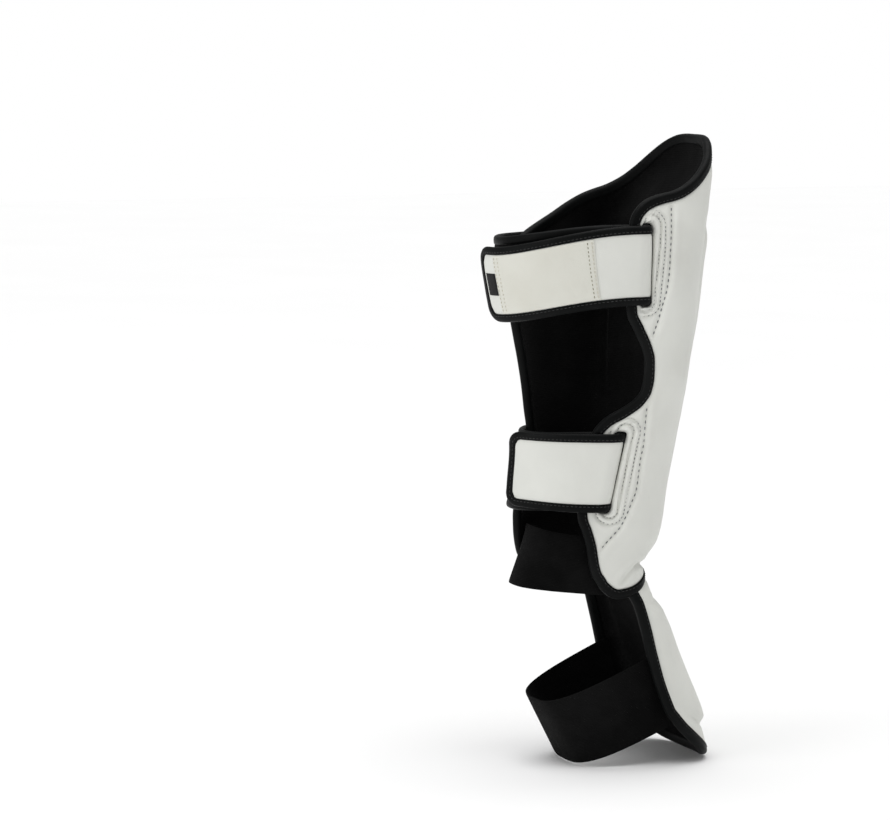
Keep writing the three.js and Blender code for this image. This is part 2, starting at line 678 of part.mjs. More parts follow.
for (const [name, strap] of Object.entries(STRAPS)) {
  addPiece(`strap_${name}`, strapBody(strap), LEATHER);
  addPiece(`strap_${name}_binding`, strapTape(strap), TAPE);
}
addPiece("strap_patch", onStrap(STRAPS.upper, PATCH, GAP), PATCH_LEATHER);
addPiece("size_label", onStrap(STRAPS.upper, LABEL, GAP), CLOTH);
addPiece("ankle_elastic", ankleBand(), ELASTIC);
addPiece("foot_elastic", footBand(), ELASTIC);

export default guard;
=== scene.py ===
import math

import bpy
import numpy as np
from mathutils import Matrix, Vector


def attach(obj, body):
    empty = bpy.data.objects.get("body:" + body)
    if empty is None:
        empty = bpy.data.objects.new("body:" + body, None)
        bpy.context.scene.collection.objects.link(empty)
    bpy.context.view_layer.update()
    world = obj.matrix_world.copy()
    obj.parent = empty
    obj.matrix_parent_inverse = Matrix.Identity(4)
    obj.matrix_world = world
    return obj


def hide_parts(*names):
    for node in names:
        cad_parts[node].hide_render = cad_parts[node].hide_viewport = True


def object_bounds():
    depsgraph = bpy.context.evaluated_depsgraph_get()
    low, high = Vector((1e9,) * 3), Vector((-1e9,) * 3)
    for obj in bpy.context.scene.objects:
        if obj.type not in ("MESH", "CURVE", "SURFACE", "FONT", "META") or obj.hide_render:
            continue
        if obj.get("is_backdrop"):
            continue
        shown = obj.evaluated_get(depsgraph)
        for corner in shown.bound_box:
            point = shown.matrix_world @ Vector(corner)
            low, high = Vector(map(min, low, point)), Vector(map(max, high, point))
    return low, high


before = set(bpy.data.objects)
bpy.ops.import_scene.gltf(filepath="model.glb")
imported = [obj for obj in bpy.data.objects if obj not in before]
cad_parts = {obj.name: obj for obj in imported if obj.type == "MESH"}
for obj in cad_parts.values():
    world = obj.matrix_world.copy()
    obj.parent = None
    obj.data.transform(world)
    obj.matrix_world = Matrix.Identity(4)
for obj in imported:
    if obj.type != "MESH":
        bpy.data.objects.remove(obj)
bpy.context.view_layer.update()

# A strap-on shin and instep guard, dressed over its CAD solids: padded white leather, folded edge tape,
# slotted wing, two straps and two elastic bands. Shapes are worked out in millimetres.
MM = 0.001

# Build-up of the padded walls: the leather's edge, the foam behind it, and the lining with the gap before it.
GAP = 0.35
EDGE_WALL = 3.6
SHIN_FOAM = 13.0
INSTEP_FOAM = 8.0
LINING = 1.2

# The oval's roundness and the reach of its pulled-in sides, and the angles at which the shield's net changes.
FRONT_POWER = 0.8
PINCH_REACH = 30.0
QUILT_ANGLE = 88.0
PANEL_ANGLE = 42.0

# The raised panels: each one's step, the crown on it and the groove round it, as heights and reaches.
SHIN_STEP = {"rise": 3.2, "crown": 0.3, "reach": 34.0, "groove": 0.8, "at": 4.6, "width": 1.9}
INSTEP_STEP = {"rise": 4.5, "crown": 0.5, "reach": 26.0, "groove": 0.9, "at": 4.4, "width": 1.8}
STEP_WIDTH = 8.0
ROUND_OFF = 5.0

# The straps, the slots they go through, and what is sewn on them. PATCH_LOW is a sewn piece's height above a
# strap's middle, ROOT_ROWS are the places of the seams at its root.
STRAP_BODY = 49.2
STRAP_HALF_THICK = 1.6
STRAP_TAPE = 6.6
STRAP_CORNER = 5.5
STRAP_TAPER = 0.05
LEAN_REACH = 40.0
STRAP_TAPE_HALF_THICK = 2.2
FOLD_RADIUS = 6.4
FOLD_CENTRE = -2.8
SLOT_BACK = -0.4
SLOT_AHEAD = {"foot": 8.4, "top": 9.2}
SLOT_SPARE = 0.4
SLOT_CORNER = 3.0
PATCH = {"length": 77.0, "height": 47.6, "thick": 1.0, "from_end": 20.5}
LABEL = {"length": 11.0, "height": 18.0, "thick": 0.6, "from_end": 8.5}
PATCH_LOW = STRAP_HALF_THICK + 0.34
ROOT_ROWS = (2.2, 5.4)

# Stitches by kind: pitch along the row, length and radius.
STITCH = {
    "quilt": (4.8, 3.0, 0.5), "slot": (3.2, 2.3, 0.42), "edge": (3.4, 2.5, 0.26), "strap": (3.3, 2.4, 0.28),
    "patch": (3.1, 2.0, 0.3),
}

# The elastic bands.
ELASTIC_HALF_THICK = 0.8
ANKLE_BAND = 46.0

# The photograph's viewing angle, and where the guard's origin falls in its frame of 890 by 820 pixels.
VIEW = {"azimuth": -112.0, "elevation": 6.5, "distance": 2600.0, "mm_per_pixel": 0.8}
FRAME_PIXELS = (890, 820)
ORIGIN_PIXEL = (586, 571)

# The key light: its place in metres right, up and towards the camera, its size and its strength.
KEY_LIGHT = {"right": -2.2, "up": 1.0, "toward": 1.4, "size": 1.6, "watts": 16}


def table(columns, rows):
    """Rows of numbers as one array for each named column."""
    return dict(zip(columns.split(), np.array(rows, dtype=float).T))


# Sections of the oval under the shield, by height.
SHIN = table("at half front widest rear pinch", [
    (-24, 48.5, -43, -12, 57, 0),
    (0, 50, -40.5, -12, 58, 0),
    (6, 51, -38.5, -12, 58, 0.005),
    (11, 52, -34.5, -12, 58, 0.01),
    (15, 53, -40.5, -12, 58.5, 0.02),
    (20, 53.8, -45.2, -12.5, 59, 0.025),
    (28, 54.8, -51.3, -13, 59.5, 0.035),
    (44, 57, -55.5, -14, 60, 0.05),
    (73, 58.8, -59.3, -18, 54, 0.07),
    (111, 62.5, -65, -24, 47.5, 0.07),
    (130, 65, -68, -28, 50, 0.06),
    (150, 69, -70.2, -33, 52.5, 0.05),
    (170, 72.5, -71.5, -37, 56, 0.05),
    (188, 75.5, -73.2, -40, 60, 0.06),
    (210, 77.8, -75.5, -42, 64.5, 0.08),
    (230, 78, -77.8, -42, 67, 0.09),
    (256, 77.5, -81.5, -42, 69, 0.06),
    (270, 75.5, -85, -42, 69, 0.02),
    (280, 72.6, -87.5, -42, 68, -0.015),
    (290, 68.6, -91.5, -42, 66, -0.035),
    (300, 64.4, -94.5, -42, 64, -0.03),
    (309, 62.2, -96.5, -42, 62, 0),
    (320, 60, -98, -42, 60, 0),
    (332, 57, -97.5, -42, 58, 0),
    (356, 53, -97, -42, 56, 0),
])

# The leather's upper and lower edges against the angle round the leg, near wing and far wing.
SHIN_TOP_NEAR = table("at z", [
    (0, 340), (10, 339.4), (20, 336.4), (28, 332.2), (36, 327), (44, 322.5), (52, 318), (62, 311.5),
    (72, 305.8), (82, 300.8), (90, 297.8), (96, 295.5), (101, 292), (104.5, 286.5), (106.3, 279.5), (107, 270),
])
SHIN_TOP_FAR = table("at z", [
    (0, 340), (10, 340.2), (20, 339.2), (28, 337), (36, 333.6), (44, 328.8), (52, 322.8), (62, 314.6),
    (72, 307.2), (82, 301.3), (90, 297), (97, 292.5), (104, 285.5), (112, 277), (122, 269), (133, 261),
    (144, 252), (150, 244),
])
SHIN_BOTTOM_NEAR = table("at z", [
    (0, 6), (20, 5.5), (40, 3), (60, -1), (73, -4), (88, -7), (95, -8), (102, -3), (106, 4),
])
SHIN_BOTTOM_FAR = table("at z", [
    (0, 6), (20, 5.5), (40, 3), (60, -1), (73, -4), (88, -7), (96, -8), (110, -5), (130, 7), (145, 19),
    (150, 26),
])
NEAR_EDGE = table("at y", [
    (4, 8), (10, 10.5), (18, 12.3), (28, 14), (40, 17.5), (52, 21), (85, 17), (106, 14), (115, 11), (123, 4.5),
    (131, -8), (140, -18.5), (150, -24), (162, -25.5), (175, -25), (188, -21.5), (200, -16), (212, -11),
    (226, -10.5), (254, -10.5), (263, -11), (270, -11.5),
])
FAR_EDGE = table("at angle", [(4, 144), (10, 147.5), (20, 150), (255, 150), (263, 148), (270, 145)])
SHIN_ROW_SPAN = (4.0, 270.0)
TOP_REACH = {"from": 190.0, "power": 1.6}
BOTTOM_REACH = {"from": 70.0, "power": 2.0}

# The raised shin panel: half width by height, arched top, straight foot.
SHIN_PANEL = table("at half", [
    (39, 24), (51, 24), (75, 26), (100, 30), (136, 35), (157, 40), (181, 46), (205, 51), (235, 52), (310, 52),
])
SHIN_PANEL_TOP = {"centre": 296.0, "drop": 33.0, "half": 52.0, "power": 1.6}
SHIN_PANEL_FOOT = 39.0

# Sections of the instep pad by height, its edges, and its raised panel.
INSTEP = table("at half front widest rear pinch", [
    (-152, 50, -96.5, -73, 0, 0),
    (-138, 53, -95, -65, 0, 0),
    (-128, 55.5, -92.2, -57, 0, 0),
    (-119, 56.5, -89.5, -50, 0, 0),
    (-112, 56.7, -87.5, -45, 0, 0),
    (-100, 56, -82.5, -39.5, 0, 0),
    (-81, 54, -74.5, -33.5, 0, 0),
    (-62, 52.8, -66, -29.5, 0, 0),
    (-42, 52, -58.5, -25.5, 0, 0),
    (-26, 51.2, -51.2, -22, 0, 0),
    (-18, 50.8, -48, -19.5, 0, 0),
    (-8, 50.2, -43.5, -16, 0, 0),
    (-2, 50, -41.5, -14.5, 0, 0),
])
INSTEP_TOP = table("at z", [(0, -3.6), (20, -4.2), (40, -7), (60, -11.2), (73, -15.2), (80, -18.5)])
INSTEP_BOTTOM = table("at z", [
    (0, -144.5), (20, -144), (34, -142.5), (45, -140), (54, -136.5), (62, -131.5), (70, -124.5), (76, -116.5),
    (80, -106),
])
INSTEP_TUCK = {"middle": 4.6, "corner": 9.5, "from": 55.0, "depth": 2.4}
INSTEP_EDGE_ANGLE = 80.0
INSTEP_PANEL = {"half": 50.0, "top": -18.5, "near_shoulder": -25.0, "far_shoulder": -31.0, "neck": 3.0,
                "spread": 30.0, "foot": -122.5, "corner": 12.0}

# Sewn lines on the wing, as height and depth: the quilting, and the fold at the ankle.
QUILT_UPPER = [
    (298, -42), (276, -37.9), (257, -35.7), (245, -35), (230, -33), (216, -29.4), (205, -26.5), (194, -23.2),
]
QUILT_LOWER = [
    (147.5, -21.8), (135.5, -21.9), (119.5, -21.2), (108, -20.9), (96, -19), (84, -17.9), (72, -16.8),
    (62, -12.8), (52.5, -9), (42, -3.7), (35, 2.1), (29, 7.1), (25, 10.1),
]
ANKLE_FOLD = [(13, -24.6), (9.7, -20), (5, -14.8), (0.5, -11), (-3.3, -8.5)]

# Gathers where the padding is drawn in above the ankle, and the bulges between them: middle across and up,
# reach across and up, and depth.
GATHERS = [
    (-27, 15.5, 10, 6.5, 3.2),
    (26, 14.5, 7, 5, 2.6),
    (-8, 17, 2.4, 9, 2.4),
    (38, 16, 5, 7, 1.6),
    (3, 24, 2.6, 8, 0.8),
    (9, 12.5, 9, 5.5, -3.4),
    (-15, 9, 5, 4, -1.6),
]

# Each strap, its slot in the near wing, and the two sewn ovals round that slot.
STRAPS = {
    "upper": {
        "root": 99, "end": 171.5, "root_z": 238, "rear_z": 236, "slot_z": 249, "end_z": 232,
        "lean": 0.12, "tilt": 0.0,
        "top_z": 281, "top_y": -13.5, "foot_z": 217, "foot_y": -13.5,
        "core": [(281, -22.5), (220, -17.3)], "inner": 6.6, "outer": 10.7,
    },
    "lower": {
        "root": 101, "end": 179, "root_z": 84, "rear_z": 84, "slot_z": 86, "end_z": 87,
        "lean": 0.04, "tilt": 0.09,
        "top_z": 118, "top_y": 1.1, "foot_z": 54, "foot_y": 12.6,
        "core": [(119, -7), (56, 4)], "inner": 5.8, "outer": 10.6,
    },
}
# How far a strap's run and its free end stand off the oval, by the share of their length.
STRAP_RUN = table("at off", [
    (0, 3.1), (0.24, 3.7), (0.32, 4.6), (0.4, 4.6), (0.52, 2.8), (0.66, -2.6), (0.8, -8.9), (0.88, -10.1),
    (1, -9.8),
])
STRAP_FREE = table("at off", [
    (0, 4.2), (0.16, 4.4), (0.32, 5.2), (0.5, 6.8), (0.7, 9.4), (0.86, 12.4), (1, 15.8),
])
# Creases across a strap's free end: place along it, slant and depth.
CREASES = [(16, 0.25, 0.35), (31, -0.3, 0.3), (52, 0.4, 0.25)]

# The bands' paths.
ANKLE_PATH = table("at z top foot", [
    (128, 12, -9, -8.5), (150, 15, -9.5, -8), (160, 16, -11.5, 2), (172, 16.5, -12.5, 6), (190, 16, -12.5, 6),
    (215, 14, -11, -1), (240, 11.5, -9.5, -7.5), (262, 9.5, -9, -8.5),
])
FOOT_REAR = {"x": 43.5, "y": -39.5, "z": -63.0, "sole_y": 45.5, "sole_z": -99.5}
FOOT_FRONT = {"x": 44.5, "y": -52.5, "z": -122.0, "sole_y": 18.5, "sole_z": -151.0}
FOOT_BEND = 0.62


def curve(rows, column, x):
    """Smooth curve through a table's rows: a cubic on each span, whose end slopes are the harmonic means of the
    two chords that meet there, so that it never leaves the range of its rows. Outside them it stays level."""
    at, value = rows["at"], rows[column]
    x = np.clip(x, at[0], at[-1])
    rise = np.diff(value) / np.diff(at)
    a, b = rise[:-1], rise[1:]
    middle = np.where(a * b > 0, 2 * a * b / np.where(a * b > 0, a + b, 1), 0)
    slope = np.concatenate([rise[:1], middle, rise[-1:]])
    k = np.clip(np.searchsorted(at, x, side="right") - 1, 0, len(at) - 2)
    h = at[k + 1] - at[k]
    u = (x - at[k]) / h
    p, q = value[k], value[k + 1]
    m, n = slope[k] * h, slope[k + 1] * h
    return p + u * (m + u * (3 * (q - p) - 2 * m - n + u * (2 * (p - q) + m + n)))


def smooth(x):
    """The S-shaped step from 0 to 1."""
    u = np.clip(x, 0, 1)
    return u * u * (3 - 2 * u)


def bell(x, width):
    """A rounded bump, 1 at its middle."""
    return np.exp(-np.square(x / width))


def unit(v):
    """Vectors shortened to length one."""
    return v / np.maximum(np.linalg.norm(v, axis=-1, keepdims=True), 1e-9)


def oval_point(sections, angle, z):
    """Point of the oval at an angle from the front and a height. Ahead of its widest line the oval is a
    superellipse, behind it an ellipse whose sides are pulled in."""
    angle, z = np.broadcast_arrays(np.asarray(angle, float), np.asarray(z, float))
    columns = ("half", "front", "widest", "rear", "pinch")
    half, front, widest, rear, pinch = (curve(sections, column, z) for column in columns)
    s, c = np.sin(np.radians(angle)), np.cos(np.radians(angle))
    rear_y = widest - (rear - widest) * c
    rear_x = half * s * (1 - pinch * smooth((rear_y - widest) / PINCH_REACH))
    front_x = half * np.sign(s) * np.abs(s) ** FRONT_POWER
    front_y = widest - (widest - front) * np.abs(c) ** FRONT_POWER
    return np.stack([np.where(c > 0, front_x, rear_x), np.where(c > 0, front_y, rear_y), z], axis=-1)


def oval_normal(sections, angle, z):
    """Level direction out of the oval: its tangent, turned by a right angle."""
    along = oval_point(sections, angle + 0.6, z) - oval_point(sections, angle - 0.6, z)
    return unit(np.stack([along[..., 1], -along[..., 0], 0 * along[..., 0]], axis=-1))


def offset_point(sections, angle, z, off):
    """Point that stands off the oval by a distance."""
    return oval_point(sections, angle, z) + oval_normal(sections, angle, z) * np.asarray(off)[..., None]


def angle_at(sections, y, z):
    """Angle, 0 to 180, at which the oval passes a depth: the inverse of the oval's own formula."""
    front, widest, rear = (curve(sections, c, z) for c in ("front", "widest", "rear"))
    ahead = np.arccos(np.clip((widest - y) / (widest - front), 0, 1) ** (1 / FRONT_POWER))
    behind = np.arccos(-np.clip((y - widest) / (rear - widest), 0, 1))
    return np.degrees(np.where(y < widest, ahead, behind))


def line_distance(y, z, line):
    """Distance in the plane of height and depth from a line of straight pieces: the least over its pieces."""
    points = np.array(line, dtype=float)
    best = np.full(np.shape(y), 1e9)
    for (z0, y0), (z1, y1) in zip(points[:-1], points[1:]):
        span = (z1 - z0) ** 2 + (y1 - y0) ** 2
        t = np.clip(((z - z0) * (z1 - z0) + (y - y0) * (y1 - y0)) / span, 0, 1)
        best = np.minimum(best, np.hypot(z - z0 - t * (z1 - z0), y - y0 - t * (y1 - y0)))
    return best


def edge_height(angle, near, far):
    """Height at an angle of an edge that has one table for each side."""
    return np.where(angle < 0, curve(near, "z", np.abs(angle)), curve(far, "z", np.abs(angle)))


def shin_top(angle):
    """Height of the shield's upper edge at an angle."""
    return edge_height(angle, SHIN_TOP_NEAR, SHIN_TOP_FAR)


def shin_bottom(angle):
    """Height of the shield's lower edge at an angle."""
    return edge_height(angle, SHIN_BOTTOM_NEAR, SHIN_BOTTOM_FAR)


def instep_top(angle):
    """Height of the instep pad's upper edge at an angle."""
    return edge_height(angle, INSTEP_TOP, INSTEP_TOP)


def instep_bottom(angle):
    """Height of the instep pad's lower edge at an angle."""
    return edge_height(angle, INSTEP_BOTTOM, INSTEP_BOTTOM)


def shin_net(rows, wing, side, panel, far):
    """Angles and heights of the shield's net. Rows run from the lower to the upper edge and are drawn up to the
    arch and down to the foot by powers of their height; columns are even in width over the front, even in depth
    along the sides, even in angle on the near wing and closest to the quilting on the far one."""
    low, high = SHIN_ROW_SPAN
    row_z = np.linspace(low, high, rows + 1)[:, None]
    near_end = angle_at(SHIN, curve(NEAR_EDGE, "y", row_z), row_z)
    far_end = curve(FAR_EDGE, "angle", row_z)
    share = lambda count: np.linspace(0, 1, count + 1)[None, 1:]
    power = 1 / FRONT_POWER
    deep, shallow = (math.cos(math.radians(a)) ** FRONT_POWER for a in (QUILT_ANGLE, PANEL_ANGLE))
    across = 2 * share(panel) - 1
    turn = math.sin(math.radians(PANEL_ANGLE))
    front = np.degrees(np.arcsin(turn * np.abs(across) ** power)) * np.sign(across)
    near_side = -np.degrees(np.arccos((deep + (shallow - deep) * share(side)) ** power))
    far_side = np.degrees(np.arccos((shallow + (deep - shallow) * share(side)) ** power))
    level = np.ones_like(row_z)
    angle = np.concatenate([
        -near_end,
        -near_end + (near_end - QUILT_ANGLE) * share(wing),
        near_side * level,
        front * level,
        far_side * level,
        QUILT_ANGLE + (far_end - QUILT_ANGLE) * share(far) ** 1.25,
    ], axis=1)
    up = np.clip((row_z - TOP_REACH["from"]) / (high - TOP_REACH["from"]), 0, 1) ** TOP_REACH["power"]
    down = np.clip((BOTTOM_REACH["from"] - row_z) / (BOTTOM_REACH["from"] - low), 0, 1) ** BOTTOM_REACH["power"]
    return angle, row_z + (shin_top(angle) - high) * up + (shin_bottom(angle) - low) * down


def fold_line(strap, z):
    """Depth of a strap's fold line at a height: a straight line between its two ends."""
    share = (z - strap["foot_z"]) / (strap["top_z"] - strap["foot_z"])
    return strap["foot_y"] + (strap["top_y"] - strap["foot_y"]) * share, share


def slot_gap(strap, y, z):
    """Distance outside a slot's outline, and the nearest point of that outline: a rounded upright box in height
    and in depth ahead of the fold line, whose front leans so that it is widest at the top."""
    line, share = fold_line(strap, z)
    front = SLOT_AHEAD["foot"] + (SLOT_AHEAD["top"] - SLOT_AHEAD["foot"]) * np.clip(share, 0, 1)
    middle, half = (front + SLOT_BACK) / 2, (front - SLOT_BACK) / 2
    centre_z = (strap["top_z"] + strap["foot_z"]) / 2
    half_z = (strap["top_z"] - strap["foot_z"]) / 2 + SLOT_SPARE
    a, b = line - y - middle, z - centre_z
    qa, qb = np.abs(a) - half + SLOT_CORNER, np.abs(b) - half_z + SLOT_CORNER
    corner = (qa > 0) & (qb > 0)
    reach = np.maximum(np.hypot(qa, qb), 1e-9)
    gap = np.where(corner, reach, np.maximum(qa, qb)) - SLOT_CORNER
    da = np.where(corner, qa / reach, qa > qb) * np.sign(a)
    db = np.where(corner, qb / reach, qb >= qa) * np.sign(b)
    edge_z = z - gap * db
    return gap, fold_line(strap, edge_z)[0] - (a - gap * da + middle), edge_z


def cut_slots(angle, z, near):
    """Net with its points at a slot moved on to the slot's outline, and the mask of those points. A point is at
    the slot when it is in it, or nearer to it than a given distance."""
    inside = np.zeros(angle.shape, bool)
    for strap in STRAPS.values():
        y = oval_point(SHIN, angle, z)[..., 1]
        gap, edge_y, edge_z = slot_gap(strap, y, z)
        here = (gap < near) & (angle < -70)
        angle = np.where(here, -angle_at(SHIN, edge_y, edge_z), angle)
        z = np.where(here, edge_z, z)
        inside |= here
    return angle, z, inside


def least(a, b):
    """The lesser of two distances, rounded off where they are nearly the same."""
    h = np.clip(0.5 + 0.5 * (b - a) / ROUND_OFF, 0, 1)
    return b + (a - b) * h - ROUND_OFF * h * (1 - h)


def panel_inside(x, z):
    """Distance inside the raised shin panel's outline: the least of those to its sides, arch and foot."""
    arch = SHIN_PANEL_TOP
    top = arch["centre"] - arch["drop"] * (np.abs(x) / arch["half"]) ** arch["power"]
    return least(least(curve(SHIN_PANEL, "half", z) - np.abs(x), top - z), z - SHIN_PANEL_FOOT)


def raised_panel(inside, step):
    """Height of a raised panel by the distance inside its outline: a rounded step, a crown and a groove."""
    rise = step["rise"] * smooth(0.5 + inside / STEP_WIDTH)
    crown = step["crown"] * smooth(inside / step["reach"])
    return rise + crown - step["groove"] * bell(inside + step["at"], step["width"])


def sewn_valley(distance, depth, width, swell):
    """Leather drawn down at a sewn line, and a low ridge of foam that swells on both sides of it."""
    return swell * bell(distance - 2.8 * width, 1.9 * width) - depth * bell(distance, width)


def shin_face(angle, z, edge):
    """How far the shield's leather stands off the oval: the padded panel's step, groove and crown, the sewn
    valleys of the quilting, the rolled lip and the band round each slot, the gathers above the ankle and slow
    waves, all of it fading out towards the edge tape."""
    p = oval_point(SHIN, angle, z)
    x, y = p[..., 0], p[..., 1]
    a = np.abs(angle)
    away = 99.0
    off = raised_panel(np.where(a < 80, panel_inside(x, z), -away), SHIN_STEP)
    near, far = angle < -55, angle > 55
    upper, lower = (line_distance(y, z, line) for line in (QUILT_UPPER, QUILT_LOWER))
    whole = line_distance(y, z, QUILT_UPPER + QUILT_LOWER)
    quilt = np.where(near, np.minimum(upper, lower), np.where(far, whole, away))
    off = off + sewn_valley(quilt, depth=1.9, width=1.7, swell=0.6)
    for strap in STRAPS.values():
        inner, outer = strap["inner"], strap["outer"]
        ring = np.where(near, line_distance(y, z, strap["core"]), away)
        gap = np.maximum(np.where(near, slot_gap(strap, y, z)[0], away), 0)
        lip = 1.9 * smooth(gap / 1.8) * smooth((inner - ring) / 1.9)
        padded = 1.3 * smooth((ring - inner) / 1.7) * smooth((outer - ring) / 1.7)
        swell = 0.5 * bell(ring - outer - 3.2, 2.2)
        sewn = 1.1 * bell(ring - inner, 0.9) + 1.3 * bell(ring - outer, 1.1)
        cut = 1.3 * np.exp(-gap / 0.7)
        off = off + lip + padded + swell - sewn - cut
    front = np.where(a < 75, 1.0, 0.0)
    for middle_x, middle_z, wide, tall, depth in GATHERS:
        off = off - depth * front * bell(x - middle_x, wide) * bell(z - middle_z, tall)
    fold = np.where(near, line_distance(y, z, ANKLE_FOLD), away)
    off = off - 1.7 * bell(fold, 1.9) + 0.7 * bell(fold - 5, 2.6)
    waves = 0.22 * np.sin(x / 17 + z / 29 + 1) + 0.16 * np.sin(y / 13 - z / 21) + 0.1 * np.sin(z / 9 + x / 14)
    drawn_down = 0.55 * np.exp(-edge / 1.6)
    return (off + waves) * smooth(edge / 7) - drawn_down


def shin_wall(angle, z):
    """Thickness of the shield's wall: foam behind the panel, thinning to the wings, the top and the foot."""
    across = smooth((QUILT_ANGLE + 2 - np.abs(angle)) / 28)
    upper = smooth((shin_top(angle) - z - 4) / 46)
    lower = smooth((z - 6) / 42)
    return EDGE_WALL + SHIN_FOAM * across * upper * lower


def instep_tuck(angle):
    """How far the instep pad goes up under the shin tape at an angle: a step from its middle to its corners."""
    outward = smooth((np.abs(angle) - INSTEP_TUCK["from"]) / (INSTEP_EDGE_ANGLE - INSTEP_TUCK["from"]))
    return INSTEP_TUCK["middle"] + (INSTEP_TUCK["corner"] - INSTEP_TUCK["middle"]) * outward


def instep_sink(angle, z):
    """How far the tucked part lies back: a step from the pad's upper edge to the end of the tuck."""
    over = z - instep_top(angle) + 1.5
    return INSTEP_TUCK["depth"] * smooth(over / (instep_tuck(angle) + 1.5))


def instep_net(rows, columns, tucked):
    """Angles and heights of the instep pad's net: columns even in width, rows even between its two edges, the
    upper of which can be tucked up under the shin tape."""
    turn = math.sin(math.radians(INSTEP_EDGE_ANGLE))
    share = np.linspace(-1, 1, columns + 1)[None, :]
    even = np.degrees(np.arcsin(turn * np.abs(share) ** 1.12)) * np.sign(share)
    angle = even * np.ones((rows + 1, 1))
    u = np.linspace(0, 1, rows + 1)[:, None]
    top, bottom = instep_top(angle) + tucked * instep_tuck(angle), instep_bottom(angle)
    return angle, bottom + (top - bottom) * u


def instep_face(angle, z, edge):
    """How far the instep pad's leather stands off its oval: the raised panel with its humped top, slow waves, the
    drawn-down edge and the tuck."""
    x = oval_point(INSTEP, angle, z)[..., 0]
    a = np.abs(x)
    panel = INSTEP_PANEL
    shoulder = np.where(x < 0, panel["near_shoulder"], panel["far_shoulder"])
    roof = panel["top"] + (shoulder - panel["top"]) * smooth((a - panel["neck"]) / panel["spread"])
    floor = panel["foot"] + panel["corner"] * np.clip(a / panel["half"], 0, 1) ** 5
    off = raised_panel(least(least(panel["half"] - a, roof - z), z - floor), INSTEP_STEP)
    waves = 0.25 * np.sin(x / 15 + z / 19 + 2) + 0.16 * np.sin(z / 8 - x / 13)
    drawn_down = 0.5 * np.exp(-edge / 1.6)
    return (off + waves) * smooth(edge / 6) - drawn_down - instep_sink(angle, z)


def instep_wall(angle, z):
    """Thickness of the instep pad's wall, thin at its edges."""
    across = smooth((INSTEP_EDGE_ANGLE - 10 - np.abs(angle)) / 30)
    upper = smooth((instep_top(angle) - z - 3) / 26)
    lower = smooth((z - instep_bottom(angle) - 6) / 26)
    return EDGE_WALL + INSTEP_FOAM * across * upper * lower


def rim_distance(points):
    """Distance of each net point from the net's rim, measured along its row and its column."""
    best = np.full(points.shape[:2], 1e9)
    for axis in (0, 1):
        step = np.linalg.norm(np.diff(points, axis=axis), axis=-1)
        far = np.cumsum(step, axis=axis)
        zero = np.zeros_like(np.take(far, [0], axis=axis))
        far = np.concatenate([zero, far], axis=axis)
        best = np.minimum(best, np.minimum(far, np.take(far, [-1], axis=axis) - far))
    return best


def rim_of(net, with_top):
    """A net's outermost values in order: down the near side, along the foot, up the far side, along the top."""
    parts = [net[:0:-1, 0], net[0, :-1], net[:, -1]] + ([net[-1, -2:0:-1]] if with_top else [])
    return np.concatenate(parts)


def net_quads(rows, columns):
    """Corner numbers of a net's cells."""
    index = np.arange(rows * columns).reshape(rows, columns)
    corners = [index[:-1, :-1], index[:-1, 1:], index[1:, 1:], index[1:, :-1]]
    return np.stack(corners, axis=-1).reshape(-1, 4)


def ring_quads(rings, sides, closed):
    """Corner numbers of a tube through rings of points, closed on itself or capped at both ends by strips."""
    index = np.arange(rings * sides).reshape(rings, sides)
    ahead = np.roll(index, -1, axis=0) if closed else index[1:]
    here = index if closed else index[:-1]
    corners = [here, np.roll(here, -1, axis=1), np.roll(ahead, -1, axis=1), ahead]
    quads = np.stack(corners, axis=-1).reshape(-1, 4)
    if closed:
        return quads
    k = np.arange(sides // 2 - 1)
    cap = np.stack([k, k + 1, sides - 2 - k, sides - 1 - k], axis=-1)
    return np.concatenate([quads, cap[:, ::-1], cap + (rings - 1) * sides])


def wall_between(outer, inner, hole=None):
    """Closed wall between two nets of one layout: both faces, and a strip along every open edge, those of the
    holes included. A cell is a hole when its four corners are."""
    rows, columns = outer.shape[:2]
    count = rows * columns
    quads = net_quads(rows, columns)
    if hole is not None:
        quads = quads[~hole.reshape(-1)[quads].all(axis=1)]
    ends = np.stack([quads, np.roll(quads, -1, axis=1)], axis=-1).reshape(-1, 2)
    open_edge = ends[~np.isin(ends[:, 0] * count + ends[:, 1], ends[:, 1] * count + ends[:, 0])]
    u, v = open_edge[:, 0], open_edge[:, 1]
    sides = np.stack([v, u, u + count, v + count], axis=-1)
    points = np.concatenate([outer.reshape(-1, 3), inner.reshape(-1, 3)])
    return points, np.concatenate([quads, quads[:, ::-1] + count, sides])


def facing_out(points, quads):
    """Quads turned so that the closed surface holds a positive volume."""
    a, b, c, d = (points[quads[:, k]] for k in range(4))
    volume = (np.einsum("ij,ij->i", a, np.cross(b, c)) + np.einsum("ij,ij->i", a, np.cross(c, d))).sum()
    return quads if volume > 0 else quads[:, ::-1]


def in_scene(name, data):
    """New object in the scene."""
    made = bpy.data.objects.new(name, data)
    bpy.context.scene.collection.objects.link(made)
    return made


